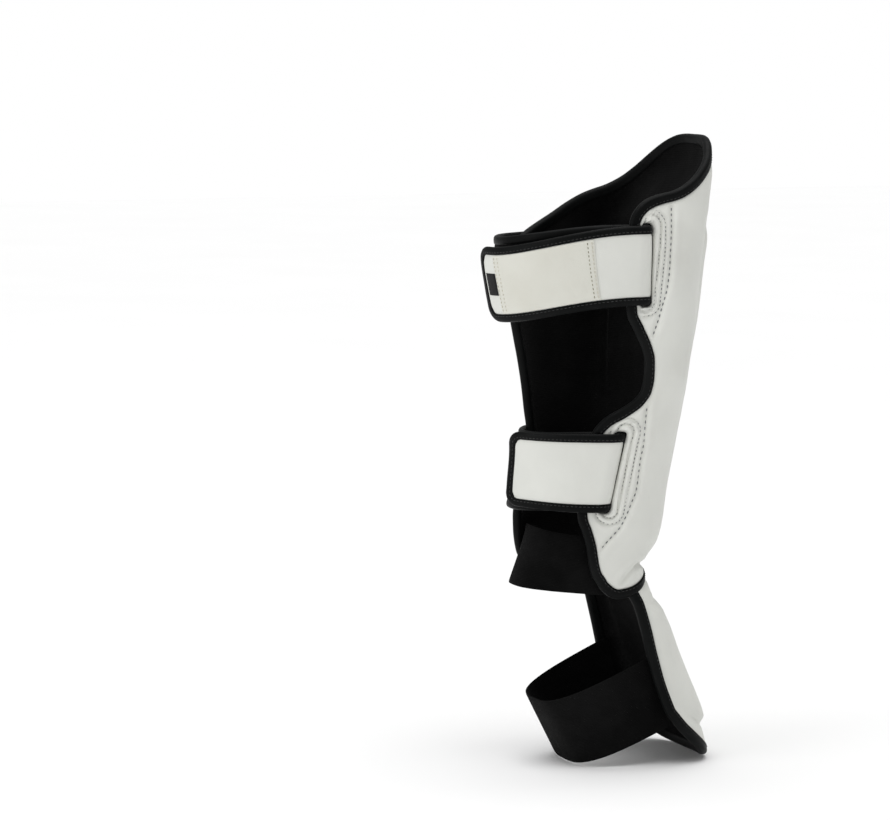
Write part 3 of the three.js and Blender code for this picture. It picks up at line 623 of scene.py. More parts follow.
def make_piece(name, points, quads, materials, slot=None, replaces=(), face_material=None, uv=None, sharp=50):
    """Closed mesh from whole arrays of points in millimetres and quads, faces out, unused points dropped. The
    lengths along and across, uv, are repeated where they are given for one layer or one stitch."""
    points = points.reshape(-1, 3)
    used, quads = np.unique(facing_out(points, quads), return_inverse=True)
    quads = quads.reshape(-1, 4)
    mesh = bpy.data.meshes.new(name)
    mesh.vertices.add(len(used))
    mesh.vertices.foreach_set("co", (points[used] * MM).astype(np.float32).ravel())
    mesh.loops.add(quads.size)
    mesh.loops.foreach_set("vertex_index", quads.astype(np.int32).ravel())
    mesh.polygons.add(len(quads))
    mesh.polygons.foreach_set("loop_start", np.arange(0, quads.size, 4, dtype=np.int32))
    for material in materials:
        mesh.materials.append(material)
    if face_material is not None:
        mesh.polygons.foreach_set("material_index", face_material.astype(np.int32))
    if uv is not None:
        corners = np.resize(uv, (len(points), 2))[used][quads.ravel()]
        layer = mesh.uv_layers.new(name="along_across")
        layer.uv.foreach_set("vector", (corners * MM).astype(np.float32).ravel())
    mesh.update(calc_edges=True)
    mesh.shade_smooth()
    mesh.set_sharp_from_angle(angle=math.radians(sharp))
    piece = in_scene(name, mesh)
    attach(piece, "root")
    if replaces:
        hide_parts(*replaces)
    return piece


class Nodes:
    """A node tree with short ways to add to it. Values are numbers, colours or other nodes' sockets."""

    def __init__(self, tree):
        self.tree = tree

    def give(self, value, socket):
        """Sets a socket to a value, or wires it to another socket."""
        if isinstance(value, bpy.types.NodeSocket):
            self.tree.links.new(value, socket)
        else:
            socket.default_value = value

    def add(self, kind, inputs=(), **settings):
        """Node with its settings and its named inputs."""
        node = self.tree.nodes.new("ShaderNode" + kind)
        for key, value in settings.items():
            setattr(node, key, value)
        for key, value in dict(inputs).items():
            self.give(value, node.inputs[key])
        return node

    def math(self, operation, a, b=0.0):
        """One sum, product or function of two values."""
        return self.add("Math", {0: a, 1: b}, operation=operation).outputs[0]

    def times(self, a, b):
        """Product of two values."""
        return self.math("MULTIPLY", a, b)

    def plus(self, a, b):
        """Sum of two values."""
        return self.math("ADD", a, b)

    def wave(self, value):
        """Rounded ribs: the sine without its sign."""
        return self.math("ABSOLUTE", self.math("SINE", value))

    def remap(self, value, low, high, to_low=0.0, to_high=1.0):
        """Value moved smoothly from one range to another."""
        return self.add("MapRange", {
            "Value": value, "From Min": low, "From Max": high, "To Min": to_low, "To Max": to_high,
        }, interpolation_type="SMOOTHSTEP").outputs["Result"]

    def noise(self, place, scale, detail, **more):
        """Cloudy value between 0 and 1 over a place."""
        return self.add("TexNoise", {"Vector": place, "Scale": scale, "Detail": detail, **more}).outputs["Fac"]

    def cells(self, place, scale, feature):
        """Distance within scattered cells."""
        return self.add("TexVoronoi", {"Vector": place, "Scale": scale}, feature=feature).outputs["Distance"]

    def tint(self, factor, a, b):
        """Colour between two colours, each a socket or red, green and blue."""
        full = [(*colour, 1) if isinstance(colour, tuple) else colour for colour in (a, b)]
        return self.add("Mix", {"Factor": factor, 6: full[0], 7: full[1]}, data_type="RGBA").outputs[2]

    def place(self):
        """Sockets of the object's own coordinates."""
        return self.add("TexCoord").outputs

    def effect(self, group, **inputs):
        """Outputs of an effect group with its own values."""
        return self.add("Group", inputs, node_tree=group).outputs

    def dress(self, shader, colour, rough, height, relief, depth):
        """A shader's colour, roughness and bump."""
        bump = self.add("Bump", {"Strength": relief, "Distance": depth, "Height": height}).outputs[0]
        for key, value in (("Base Color", colour), ("Roughness", rough), ("Normal", bump)):
            self.give(value, shader.inputs[key])


def effect_group(name, inputs, outputs):
    """Empty shader node group with a vector and named values as inputs: its nodes, inputs and outputs."""
    tree = bpy.data.node_groups.new(name, "ShaderNodeTree")
    tree.interface.new_socket(name="Vector", in_out="INPUT", socket_type="NodeSocketVector")
    for socket, value in inputs.items():
        made = tree.interface.new_socket(name=socket, in_out="INPUT", socket_type="NodeSocketFloat")
        made.default_value = value
    for socket in outputs:
        tree.interface.new_socket(name=socket, in_out="OUTPUT", socket_type="NodeSocketFloat")
    return Nodes(tree), tree.nodes.new("NodeGroupInput").outputs, tree.nodes.new("NodeGroupOutput").inputs


def leather_grain_group():
    """Fine pebble grain: cell borders pressed in, a finer grain on top, and a slow mottle."""
    nodes, given, out = effect_group("leather_grain", {"Cells": 900.0}, ["Height", "Mottle"])
    place, cells = given["Vector"], given["Cells"]
    bent = nodes.add("TexNoise", {"Vector": place, "Scale": 140.0, "Detail": 2.0}).outputs["Color"]
    shift = nodes.add("VectorMath", {0: bent, 1: (0.0012, 0.0012, 0.0012)}, operation="MULTIPLY").outputs[0]
    moved = nodes.add("VectorMath", {0: place, 1: shift}, operation="ADD").outputs[0]
    border = nodes.remap(nodes.cells(moved, cells, "DISTANCE_TO_EDGE"), 0.0, 0.28)
    fine = nodes.noise(place, nodes.times(cells, 2.4), 3.0)
    nodes.give(nodes.plus(nodes.times(border, 0.7), nodes.times(fine, 0.45)), out["Height"])
    nodes.give(nodes.remap(nodes.noise(place, 26.0, 5.0), 0.32, 0.7), out["Mottle"])
    return nodes.tree


def woven_group():
    """Woven cloth on a surface's own lengths: ribs along, ribs across, and yarns of uneven thickness."""
    nodes, given, out = effect_group("woven_yarns", {"Along": 1200.0, "Across": 700.0, "Balance": 0.5},
                                     ["Height", "Yarn"])
    place = given["Vector"]
    parts = nodes.add("SeparateXYZ", {0: place}).outputs
    along, across = (nodes.wave(nodes.times(nodes.times(parts[axis], math.pi), given[count]))
                     for axis, count in (("X", "Along"), ("Y", "Across")))
    mixed = nodes.add("Mix", {"Factor": given["Balance"], 2: along, 3: across}).outputs[0]
    nodes.give(nodes.plus(mixed, nodes.times(nodes.noise(place, 420.0, 3.0), 0.3)), out["Height"])
    uneven = nodes.remap(nodes.noise(place, 90.0, 4.0), 0.2, 0.75, 0.5, 1.0)
    nodes.give(nodes.times(nodes.remap(mixed, 0.1, 0.95), uneven), out["Yarn"])
    return nodes.tree


def lint_group():
    """Dust and lint on cloth: scattered small specks and a faint bloom."""
    nodes, given, out = effect_group("lint_and_bloom", {"Specks": 260.0}, ["Mask"])
    place = given["Vector"]
    specks = nodes.remap(nodes.cells(place, given["Specks"], "F1"), 0.11, 0.05)
    shown = nodes.times(specks, nodes.remap(nodes.noise(place, 70.0, 2.0), 0.56, 0.66))
    bloom = nodes.remap(nodes.noise(place, 18.0, 5.0), 0.4, 0.75)
    nodes.give(nodes.plus(nodes.times(shown, 0.6), nodes.times(bloom, 0.4)), out["Mask"])
    return nodes.tree


def handling_group():
    """Marks of handling on leather: soft smudges, and short faint scuffs."""
    nodes, given, out = effect_group("handling_marks", {}, ["Smudge", "Scuff"])
    place = given["Vector"]
    nodes.give(nodes.remap(nodes.noise(place, 11.0, 6.0, Roughness=0.6), 0.52, 0.78), out["Smudge"])
    drawn = nodes.add("Mapping", {"Vector": place, "Scale": (1.0, 1.0, 0.18)}).outputs[0]
    streak = nodes.remap(nodes.noise(drawn, 240.0, 2.0), 0.64, 0.74)
    patchy = nodes.remap(nodes.noise(place, 30.0, 2.0), 0.55, 0.68)
    nodes.give(nodes.times(streak, patchy), out["Scuff"])
    return nodes.tree


GRAIN, WOVEN, LINT, HANDLING = leather_grain_group(), woven_group(), lint_group(), handling_group()


def new_material(name, **sockets):
    """Material with one Principled shader: the material, its nodes and the shader."""
    material = bpy.data.materials.new(name)
    material.use_nodes = True
    shader = material.node_tree.nodes["Principled BSDF"]
    for key, value in sockets.items():
        shader.inputs[key.replace("_", " ")].default_value = value
    return material, Nodes(material.node_tree), shader


def leather(name, light, shade, soil, cells, relief):
    """White coated leather: pebble grain, slow mottle between two tones, smudges and faint scuffs."""
    material, nodes, shader = new_material(name, Specular_IOR_Level=0.45)
    place = nodes.place()["Object"]
    grain = nodes.effect(GRAIN, Vector=place, Cells=cells)
    marks = nodes.effect(HANDLING, Vector=place)
    clean = nodes.tint(grain["Mottle"], shade, light)
    worn = nodes.tint(nodes.times(marks["Smudge"], 0.35), clean, soil)
    scuffed = nodes.tint(nodes.times(marks["Scuff"], 0.3), worn, soil)
    rough = nodes.plus(nodes.remap(grain["Height"], 0.2, 1.0, 0.56, 0.44), nodes.times(marks["Smudge"], 0.1))
    nodes.dress(shader, scuffed, rough, grain["Height"], relief, 0.0003)
    return material


def cloth(name, dark, pale, lint, along, across, balance, relief, rough, sheen, gloss):
    """Woven or ribbed black cloth on the piece's own lengths, with lint, a bloom and a soft sheen."""
    material, nodes, shader = new_material(name, Sheen_Weight=sheen, Sheen_Roughness=0.4,
                                           Specular_IOR_Level=gloss)
    place = nodes.place()
    yarns = nodes.effect(WOVEN, Vector=place["UV"], Along=along, Across=across, Balance=balance)
    dust = nodes.effect(LINT, Vector=place["Object"], Specks=260.0)
    colour = nodes.tint(nodes.times(dust["Mask"], 0.2), nodes.tint(yarns["Yarn"], dark, pale), lint)
    uneven = nodes.remap(yarns["Yarn"], 0.0, 1.0, rough + 0.08, rough - 0.06)
    nodes.dress(shader, colour, uneven, yarns["Height"], relief, 0.0004)
    return material


def loop_pile(name):
    """Black hook-and-loop pile: tangled loops, rough and uneven, with lint."""
    material, nodes, shader = new_material(name, Sheen_Weight=0.04, Sheen_Roughness=0.5,
                                           Specular_IOR_Level=0.06)
    place = nodes.place()["Object"]
    tangle = nodes.noise(place, 900.0, 4.0, Roughness=0.7)
    loops = nodes.times(tangle, nodes.remap(nodes.cells(place, 520.0, "F1"), 0.7, 0.0))
    dust = nodes.effect(LINT, Vector=place, Specks=180.0)
    shade = nodes.tint(nodes.remap(loops, 0.05, 0.55), (0.002, 0.002, 0.002), (0.012, 0.012, 0.0125))
    colour = nodes.tint(nodes.times(dust["Mask"], 0.25), shade, (0.06, 0.06, 0.06))
    nodes.dress(shader, colour, nodes.remap(tangle, 0.3, 0.7, 0.98, 0.82), loops, 0.8, 0.0006)
    return material


def thread(name, dark, pale):
    """Sewing thread: a twist of two tones along each stitch."""
    material, nodes, shader = new_material(name, Specular_IOR_Level=0.35, Sheen_Weight=0.1)
    place = nodes.place()
    parts = nodes.add("SeparateXYZ", {0: place["UV"]}).outputs
    twist = nodes.wave(nodes.plus(nodes.times(parts["X"], 9000.0), nodes.times(parts["Y"], 5000.0)))
    soiled = nodes.remap(nodes.noise(place["Object"], 60.0, 3.0), 0.3, 0.7, 0.55, 1.0)
    colour = nodes.tint(nodes.times(nodes.remap(twist, 0.0, 0.8), soiled), dark, pale)
    nodes.dress(shader, colour, nodes.remap(twist, 0.0, 1.0, 0.8, 0.55), twist, 0.5, 0.0002)
    return material


WHITE_LEATHER = leather("white_leather", (0.75, 0.757, 0.712), (0.715, 0.722, 0.678), (0.6, 0.595, 0.55),
                        cells=900.0, relief=0.2)
CREAM_LEATHER = leather("cream_patch_leather", (0.715, 0.712, 0.645), (0.68, 0.675, 0.605), (0.58, 0.56, 0.48),
                        cells=1100.0, relief=0.25)
EDGE_TAPE = cloth("black_edge_tape", (0.0022, 0.0025, 0.0025), (0.005, 0.0055, 0.0055), (0.05, 0.05, 0.05),
                  along=900.0, across=1500.0, balance=0.45, relief=0.2, rough=0.4, sheen=0.01, gloss=0.06)
LINING_CLOTH = cloth("black_lining", (0.002, 0.002, 0.002), (0.006, 0.006, 0.006), (0.04, 0.04, 0.04),
                     along=700.0, across=700.0, balance=0.5, relief=0.6, rough=0.86, sheen=0.02, gloss=0.06)
ELASTIC = cloth("black_elastic", (0.0015, 0.0015, 0.0015), (0.005, 0.005, 0.005), (0.05, 0.05, 0.05),
                along=1500.0, across=800.0, balance=0.62, relief=0.8, rough=0.9, sheen=0.02, gloss=0.05)
LABEL_WEAVE = cloth("black_label", (0.003, 0.003, 0.0032), (0.01, 0.01, 0.011), (0.08, 0.08, 0.08),
                    along=2600.0, across=2600.0, balance=0.5, relief=0.3, rough=0.5, sheen=0.05, gloss=0.15)
LOOP_PILE = loop_pile("black_loop_pile")
# Painted shade: the quilting and slot thread is coloured dark grey to stand in for the shadow in its sunk
# stitches.
GREY_THREAD_PAINTED_SHADE = thread("grey_thread_painted_shade", (0.085, 0.09, 0.095), (0.24, 0.25, 0.26))
OLIVE_THREAD = thread("olive_thread", (0.10, 0.095, 0.05), (0.34, 0.32, 0.2))
CREAM_THREAD = thread("cream_thread", (0.5, 0.47, 0.38), (0.74, 0.71, 0.6))
BLACK_THREAD = thread("black_thread", (0.006, 0.006, 0.006), (0.03, 0.031, 0.031))


def lengths(line):
    """Length along a line up to each of its points."""
    return np.concatenate([[0], np.cumsum(np.linalg.norm(np.diff(line, axis=0), axis=1))])


def on_line(line, s, at):
    """Points of a line at lengths along it."""
    return np.stack([np.interp(at, s, column) for column in line.T], axis=-1)


def row_lengths(net):
    """Length along each row of a net up to each of its points."""
    return np.cumsum(np.linalg.norm(np.diff(net, axis=1, prepend=net[:, :1]), axis=-1), axis=1)


def pairs(a, b):
    """Two values side by side over a net."""
    return np.stack(np.broadcast_arrays(a, b), axis=-1)


def evenly(line, pitch):
    """Points along a line at an even pitch, half a pitch in from each end, with their directions and the
    numbers of the line's points nearest to them."""
    s = lengths(line)
    count = max(1, int(round(s[-1] / pitch)))
    at = (np.arange(count) + 0.5) * s[-1] / count
    ahead = on_line(line, s, at + 0.4) - on_line(line, s, at - 0.4)
    nearest = np.round(np.interp(at, s, np.arange(len(s)))).astype(int)
    return on_line(line, s, at), unit(ahead), nearest


def stitches(name, points, along, up, kind, material):
    """Row of stitches of a kind: on each point a short rounded thread, six-sided, thick in its middle and
    dipping at both ends into what it is sewn through."""
    length, radius = STITCH[kind][1:]
    side = unit(np.cross(along, up))
    up = np.cross(side, along)
    t = np.array([-1, -0.72, 0, 0.72, 1])
    thick = np.array([0.35, 0.85, 1, 0.85, 0.35]) * radius
    lift = radius * (0.7 - 1.5 * t * t)
    turn = np.radians(np.arange(6) * 60.0)
    spine = points[:, None] + along[:, None] * (t * length / 2)[:, None] + up[:, None] * lift[:, None]
    ring = side[:, None] * np.cos(turn)[:, None] + up[:, None] * np.sin(turn)[:, None]
    solid = spine[:, :, None] + ring[:, None] * thick[:, None, None]
    one = ring_quads(len(t), len(turn), False)
    quads = one + np.arange(len(points))[:, None, None] * len(t) * len(turn)
    uv = pairs((t * length / 2)[:, None], radius * turn)
    return make_piece(name, solid, quads.reshape(-1, 4), [material], uv=uv, sharp=80)


def on_shin(line, side):
    """Line of height and depth laid on the shield's leather, side -1 near and 1 far: points and outward
    directions."""
    z, y = line.T
    angle = side * angle_at(SHIN, y, z)
    off = shin_face(angle, z, np.full(z.shape, 50.0))
    return offset_point(SHIN, angle, z, off), oval_normal(SHIN, angle, z)


def dense(line, step=0.6):
    """A line of straight pieces rounded off by a smooth curve through its points, at a fine step."""
    points = np.array(line, dtype=float)
    s = lengths(points)
    at = np.linspace(0, s[-1], int(s[-1] / step) + 2)
    rows = {"at": s, "z": points[:, 0], "y": points[:, 1]}
    return np.stack([curve(rows, column, at) for column in ("z", "y")], axis=-1)


def capsule(core, radius, count=100):
    """Closed line at a distance round a straight core: two half circles and the two sides between them."""
    ends = np.array(core, dtype=float)
    d = unit(ends[1] - ends[0])
    n = np.array([-d[1], d[0]])
    turn = np.linspace(-np.pi / 2, np.pi / 2, count)[:, None]
    bow = radius * (np.cos(turn) * d + np.sin(turn) * n)
    foot, top = ends[1] + bow, ends[0] - bow
    side = np.linspace(0, 1, count)[:, None]
    return np.concatenate([
        foot, foot[-1] + (top[0] - foot[-1]) * side, top, top[-1] + (foot[0] - top[-1]) * side,
    ])


def layer(name, sections, angle, z, outer, inner, look, hole=None, uv=None):
    """Piece that fills the room between two distances off an oval."""
    faces = (offset_point(sections, angle, z, off) for off in (outer, inner))
    points, quads = wall_between(*faces, hole)
    return make_piece(name, points, quads, *look, uv=uv)


# The shield: leather over foam, its lining and the tape round its edge.
angle, z = shin_net(rows=206, wing=32, side=34, panel=58, far=60)
rim_angle, rim_z = rim_of(angle, True), rim_of(z, True)
edge = rim_distance(oval_point(SHIN, angle, z))
angle, z, hole = cut_slots(angle, z, 0.45)
shin_shell = layer("shin_shell", SHIN, angle, z, shin_face(angle, z, edge), -shin_wall(angle, z),
                   ([WHITE_LEATHER], "shell_leather", ["shin_pad"]), hole)

angle, z = shin_net(rows=110, wing=18, side=16, panel=30, far=22)
uv = pairs(z, row_lengths(oval_point(SHIN, angle, z)))
angle, z, hole = cut_slots(angle, z, 0.9)
inner = -shin_wall(angle, z) - GAP
ripple = 0.15 * np.sin(z / 5 + angle / 9) * np.sin(z / 17 - angle / 5)
shin_inside = layer("shin_inside", SHIN, angle, z, inner, inner - LINING + ripple,
                    ([LINING_CLOTH], "lining", ["shin_lining"]), hole, uv)


# Profile of the folded tape: out from the edge, above the leather, and the share of the wall below it.
TAPE_HALF = np.array([
    (0.9, 0.02, 0), (0.0, 0.1, 0), (-0.3, 0.34, 0), (0.0, 0.6, 0), (1.1, 0.8, 0), (2.2, 0.7, 0), (3.8, 0.92, 0),
    (5.2, 0.8, 0), (6.4, 0.4, 0.04), (7.2, -0.15, 0.16), (7.5, 0, 0.34),
])
TAPE_PROFILE = np.concatenate([TAPE_HALF, TAPE_HALF[::-1] * (1, -1, -1) + (0, 0, 1)])
TAPE_STEP = 1.5
TAPE_SEAM = {"in": 1.5, "up": 0.72}


def edge_tape(name, sections, rim_angle, rim_z, sink, wall, node, closed):
    """Folded tape: its profile carried along a pad's rim. The path's points are evened out along the rim, its
    directions are softened at the corners, and the tape puckers a little along its sewn lip."""
    face = offset_point(sections, rim_angle, rim_z, -sink)
    back = offset_point(sections, rim_angle, rim_z, -sink - wall)
    if closed:
        face, back = (np.concatenate([p, p[:1]]) for p in (face, back))
    s = lengths(face)
    count = int(s[-1] / TAPE_STEP)
    at = np.linspace(0, s[-1], count, endpoint=not closed)
    face, back = on_line(face, s, at), on_line(back, s, at)
    padded = np.pad(face, ((7, 7), (0, 0)), mode="wrap" if closed else "edge")
    step = padded[2:] - padded[:-2]
    along = unit(sum(bell(k, 4.0) * step[6 + k:6 + k + count] for k in range(-6, 7)))
    wall = np.linalg.norm(face - back, axis=1)
    out = unit(np.cross(along, unit(face - back)))
    normal = unit(np.cross(out, along))
    far, high, share = TAPE_PROFILE.T
    pucker = 0.06 * np.sin(2 * np.pi * at / 3.4) + 0.12 * np.sin(2 * np.pi * at / 31 + 1) * np.sin(at / 47)
    lip = bell(far - 0.6, 2.2) * np.sign(high)
    o = far * (1 + 0.025 * np.sin(at / 21 + 2) * np.sin(at / 9))[:, None]
    n = high - share * wall[:, None] + pucker[:, None] * lip
    rings = face[:, None] + out[:, None] * o[..., None] + normal[:, None] * n[..., None]
    make_piece(name, rings, ring_quads(count, len(far), closed), [EDGE_TAPE], "edge_tape", [node],
               uv=pairs(at[:, None], row_lengths(rings[:1])), sharp=70)
    line = face + out * TAPE_SEAM["in"] + normal * TAPE_SEAM["up"]
    places, _, nearest = evenly(line, STITCH["edge"][0])
    stitches(f"{name}_seam", places, along[nearest % count], normal[nearest % count], "edge", BLACK_THREAD)


edge_tape("shin_edge_tape", SHIN, rim_angle, rim_z, 0 * rim_z, shin_wall(rim_angle, rim_z) + GAP + LINING,
          "shin_binding", True)

# The instep pad, in the same three layers.
angle, z = instep_net(rows=96, columns=104, tucked=1.0)
rim_angle, rim_z = rim_of(angle, False), rim_of(z, False)
edge = rim_distance(oval_point(INSTEP, angle, z))
instep_shell = layer("instep_shell", INSTEP, angle, z, instep_face(angle, z, edge), -instep_wall(angle, z),
                     ([WHITE_LEATHER], "shell_leather", ["instep_pad"]))
angle, z = instep_net(rows=48, columns=52, tucked=0.0)
inner = -instep_wall(angle, z) - GAP
uv = pairs(z, row_lengths(oval_point(INSTEP, angle, z)))
instep_inside = layer("instep_inside", INSTEP, angle, z, inner, inner - LINING,
                      ([LINING_CLOTH], "lining", ["instep_lining"]), uv=uv)
edge_tape("instep_edge_tape", INSTEP, rim_angle, rim_z, instep_sink(rim_angle, rim_z),
          instep_wall(rim_angle, rim_z) + GAP + LINING, "instep_binding", False)


def sewn_on_shin(name, lines, side, kind):
    """Stitch rows on the shield along lines of height and depth, left out where the leather ends."""
    rows = []
    for line in lines:
        points, up = on_shin(line, side)
        at, along, k = evenly(points, STITCH[kind][0])
        z, y = line[k].T
        clear = (curve(NEAR_EDGE, "y", z) - y > 2.2) | (side > 0)
        clear &= shin_top(side * angle_at(SHIN, y, z)) - z > 2
        for strap in STRAPS.values():
            clear &= (slot_gap(strap, y, z)[0] > 1.3) | (side > 0)
        rows.append((at[clear], along[clear], up[k][clear]))
    # The thread's dark grey is painted shade of the sunk stitches.
    stitches(name, *(np.concatenate(part) for part in zip(*rows)), kind, GREY_THREAD_PAINTED_SHADE)


sewn_on_shin("near_quilt_stitches", [dense(QUILT_UPPER), dense(QUILT_LOWER)], -1, "quilt")
sewn_on_shin("far_quilt_stitches", [dense(QUILT_UPPER + QUILT_LOWER)], 1, "quilt")
sewn_on_shin("slot_stitches", [capsule(strap["core"], strap[row]) for strap in STRAPS.values()
                               for row in ("inner", "outer")], -1, "slot")


def slot_angle(strap, z, ahead):
    """Angle at a height of a strap's fold line, or of a line so far ahead of it, on the near wing."""
    return 360 - angle_at(SHIN, fold_line(strap, z)[0] - ahead, z)


def strap_lengths(strap):
    """Lengths of a strap's run, fold and free end along its middle line."""
    bar = float(slot_angle(strap, np.float64(strap["slot_z"]), 0))
    run, free = (lengths(oval_point(SHIN, np.linspace(a, b, 61), strap["rear_z"]))[-1]
                 for a, b in ((strap["root"], bar), (bar, strap["end"])))
    return run, math.pi * FOLD_RADIUS, free


def strap_point(strap, q, w, d):
    """Point of a strap: q along it from its sewn root, w up across it, d out of its leather face. The run
    follows the oval to the slot, the fold is a half circle through it, and the free end goes back over the run,
    its cross lines leaning, its width tapering and its upper edge tipping out."""
    run, fold, free = strap_lengths(strap)
    q, w, d = np.broadcast_arrays(q, w, d)
    u = np.clip(q / run, 0, 1)
    run_z = strap["root_z"] + (strap["slot_z"] - strap["root_z"]) * smooth((u - 0.45) / 0.5) + w
    run_angle = strap["root"] + (slot_angle(strap, run_z, 0) - strap["root"]) * u
    run_off = curve(STRAP_RUN, "off", u) - d
    turn = np.pi * np.clip((q - run) / fold, 0, 1) - np.pi / 2
    fold_z = strap["slot_z"] + w
    fold_angle = slot_angle(strap, fold_z, (FOLD_RADIUS + d) * np.cos(turn))
    fold_off = FOLD_CENTRE + (FOLD_RADIUS + d) * np.sin(turn)
    past = q - run - fold
    u = np.maximum(0, past + strap["lean"] * w * smooth(past / LEAN_REACH)) / free
    across = w * (1 - STRAP_TAPER * smooth(u))
    free_z = strap["slot_z"] + (strap["end_z"] - strap["slot_z"]) * smooth(u / 0.9) + across
    bar = slot_angle(strap, free_z, 0)
    wave = 0.35 * np.sin(q / 16) * np.sin(w / 14 + q / 40) * smooth(u / 0.2)
    for crease_q, slant, depth in CREASES:
        wave = wave - depth * bell(past - crease_q - slant * w, 2.4) * smooth((np.abs(w) - 2) / 12)
    free_off = curve(STRAP_FREE, "off", u) + strap["tilt"] * w * smooth(u) + d + wave
    choose = lambda a, b, c: np.where(q <= run, a, np.where(q < run + fold, b, c))
    return offset_point(SHIN, choose(run_angle, fold_angle, bar + (strap["end"] - bar) * u),
                        choose(run_z, fold_z, free_z), choose(run_off, fold_off, free_off))


def strap_stations(strap, end, step):
    """Lengths along a strap at an even step on its run and free end, finer round its fold."""
    run, fold, _ = strap_lengths(strap)
    return np.unique(np.concatenate([
        np.linspace(0, run, int(run / step)), np.linspace(run, run + fold, 16),
        np.linspace(run + fold, end, int((end - run - fold) / step)),
    ]))


def strap_body(name, strap, node):
    """A strap's middle: leather with a faint crown on its face and loop pile on its back, as a closed profile
    carried along the strap and narrowed by a circle's arc at the free end's corners."""
    end = sum(strap_lengths(strap)) - STRAP_TAPE
    q = strap_stations(strap, end, 2.4)
    half = STRAP_BODY / 2
    w = np.linspace(-half, half, 25)
    crown = 0.3 * (1 - (w / half) ** 4) - 0.35 * bell(np.abs(w) - half + 0.4, 0.9)
    w_round = np.concatenate([w, w[::-1]])
    d_round = np.concatenate([STRAP_HALF_THICK + crown, -STRAP_HALF_THICK - 0.5 * crown[::-1]])
    bend = np.clip(q - end + STRAP_CORNER, 0, STRAP_CORNER)
    narrow = 1 - (STRAP_CORNER - np.sqrt(STRAP_CORNER ** 2 - bend ** 2)) / half
    points = strap_point(strap, q[:, None], w_round[None] * narrow[:, None], d_round[None])
    quads = ring_quads(len(q), len(w_round), False)
    profile = quads[:, 0] % len(w_round)
    at_end = np.arange(len(quads)) >= (len(q) - 1) * len(w_round)
    pile = ((profile >= len(w)) & (profile < len(w_round) - 1)) | at_end
    return make_piece(name, points, quads, [WHITE_LEATHER, LOOP_PILE], "shell_leather", [node],
                      face_material=pile, uv=pairs(q[:, None], w_round[None]))


def strap_tape(name, strap, node):
    """Tape along a strap's upper edge, round its free end and back: a rounded profile carried along pairs of
    inner and outer points, with an arc round each of the two corners."""
    end = sum(strap_lengths(strap)) - STRAP_TAPE
    inner, reach = STRAP_BODY / 2 + 0.15, STRAP_TAPE - 0.35
    bend_q, bend_w = end - STRAP_CORNER, inner - STRAP_CORNER
    q = strap_stations(strap, bend_q, 2.0)
    turn = np.radians(np.linspace(0, 90, 13))[1:-1]
    flat, one = np.zeros_like(q), np.ones_like(q)
    w_end = np.linspace(bend_w, -bend_w, 24)
    away_q = np.concatenate([flat, np.sin(turn), 0 * w_end + 1, np.sin(turn[::-1]), flat])
    away_w = np.concatenate([one, np.cos(turn), 0 * w_end, -np.cos(turn[::-1]), -one])
    start_q = np.concatenate([q, 0 * turn + bend_q, 0 * w_end + bend_q, 0 * turn + bend_q, q[::-1]])
    start_w = np.concatenate([bend_w * one, bend_w + 0 * turn, w_end, -bend_w + 0 * turn, -bend_w * one])
    start, away = np.stack([start_q, start_w]), np.stack([away_q, away_w])
    start = start + STRAP_CORNER * away
    across = np.array([-0.06, 0.0, 0.18, 0.45, 0.72, 0.9, 1.0])
    high = np.array([0.86, 1.0, 1.06, 1.1, 1.0, 0.72, 0.25]) * STRAP_TAPE_HALF_THICK
    a = np.concatenate([across, across[::-1]])
    d = np.concatenate([high, -high[::-1]])
    s = lengths((start + away * 5).T)
    pucker = 0.07 * np.sin(2 * np.pi * s / 3.3)[:, None] * bell(a - 0.15, 0.2) * np.sign(d)
    points = strap_point(strap, *(start[..., None] + away[..., None] * a * reach), d + pucker)
    piece = make_piece(name, points, ring_quads(len(s), len(a), False), [EDGE_TAPE], "edge_tape", [node],
                       uv=pairs(s[:, None], a * reach + (d < 0) * 20), sharp=70)
    line = start + away * TAPE_SEAM["in"]
    top, below = (strap_point(strap, *line, lift) for lift in (STRAP_TAPE_HALF_THICK * 1.05, 0.0))
    at, along, nearest = evenly(top, STITCH["strap"][0])
    return [piece, stitches(f"{name}_seam", at, along, unit(top - below)[nearest], "strap", BLACK_THREAD)]


def on_strap(name, strap, piece, node, material, slot, roll):
    """Flat piece sewn on a strap's free end: a thin wall on its face, rolled down along its rim. Returned with
    its start and its end along the strap."""
    end = sum(strap_lengths(strap)) - piece["from_end"]
    start = end - piece["length"]
    half = piece["height"] / 2
    q = np.linspace(start, end, int(piece["length"] / 1.2) + 1)[:, None]
    w = np.linspace(-half, half, int(piece["height"] / 1.2) + 1)[None]
    rim = np.minimum(np.minimum(q - start, end - q), half - np.abs(w))
    high = PATCH_LOW + piece["thick"] * (1 - 0.55 * np.exp(-rim / roll))
    points, quads = wall_between(strap_point(strap, q, w, high), strap_point(strap, q, w, PATCH_LOW))
    return make_piece(name, points, quads, [material], slot, [node], uv=pairs(q, w)), start, end


def strap_row(strap, q, half, d, kind):
    """Places, directions and outward sides of stitches in a row straight across a strap."""
    w = np.linspace(-half, half, 60)
    line = strap_point(strap, q, w, d)
    at, along, nearest = evenly(line, STITCH[kind][0])
    return at, along, unit(line - strap_point(strap, q, w, 0.0))[nearest]


strap_pieces = {}
for name, strap in STRAPS.items():
    body = strap_body(f"{name}_strap", strap, f"strap_{name}")
    sewn = strap_tape(f"{name}_strap_tape", strap, f"strap_{name}_binding")
    rows = [strap_row(strap, q, STRAP_BODY / 2 - 2, -STRAP_HALF_THICK - 0.15, "strap") for q in ROOT_ROWS]
    places = (np.concatenate(part) for part in zip(*rows))
    sewn.append(stitches(f"{name}_strap_root_seam", *places, "strap", BLACK_THREAD))
    strap_pieces[name] = (body, sewn)

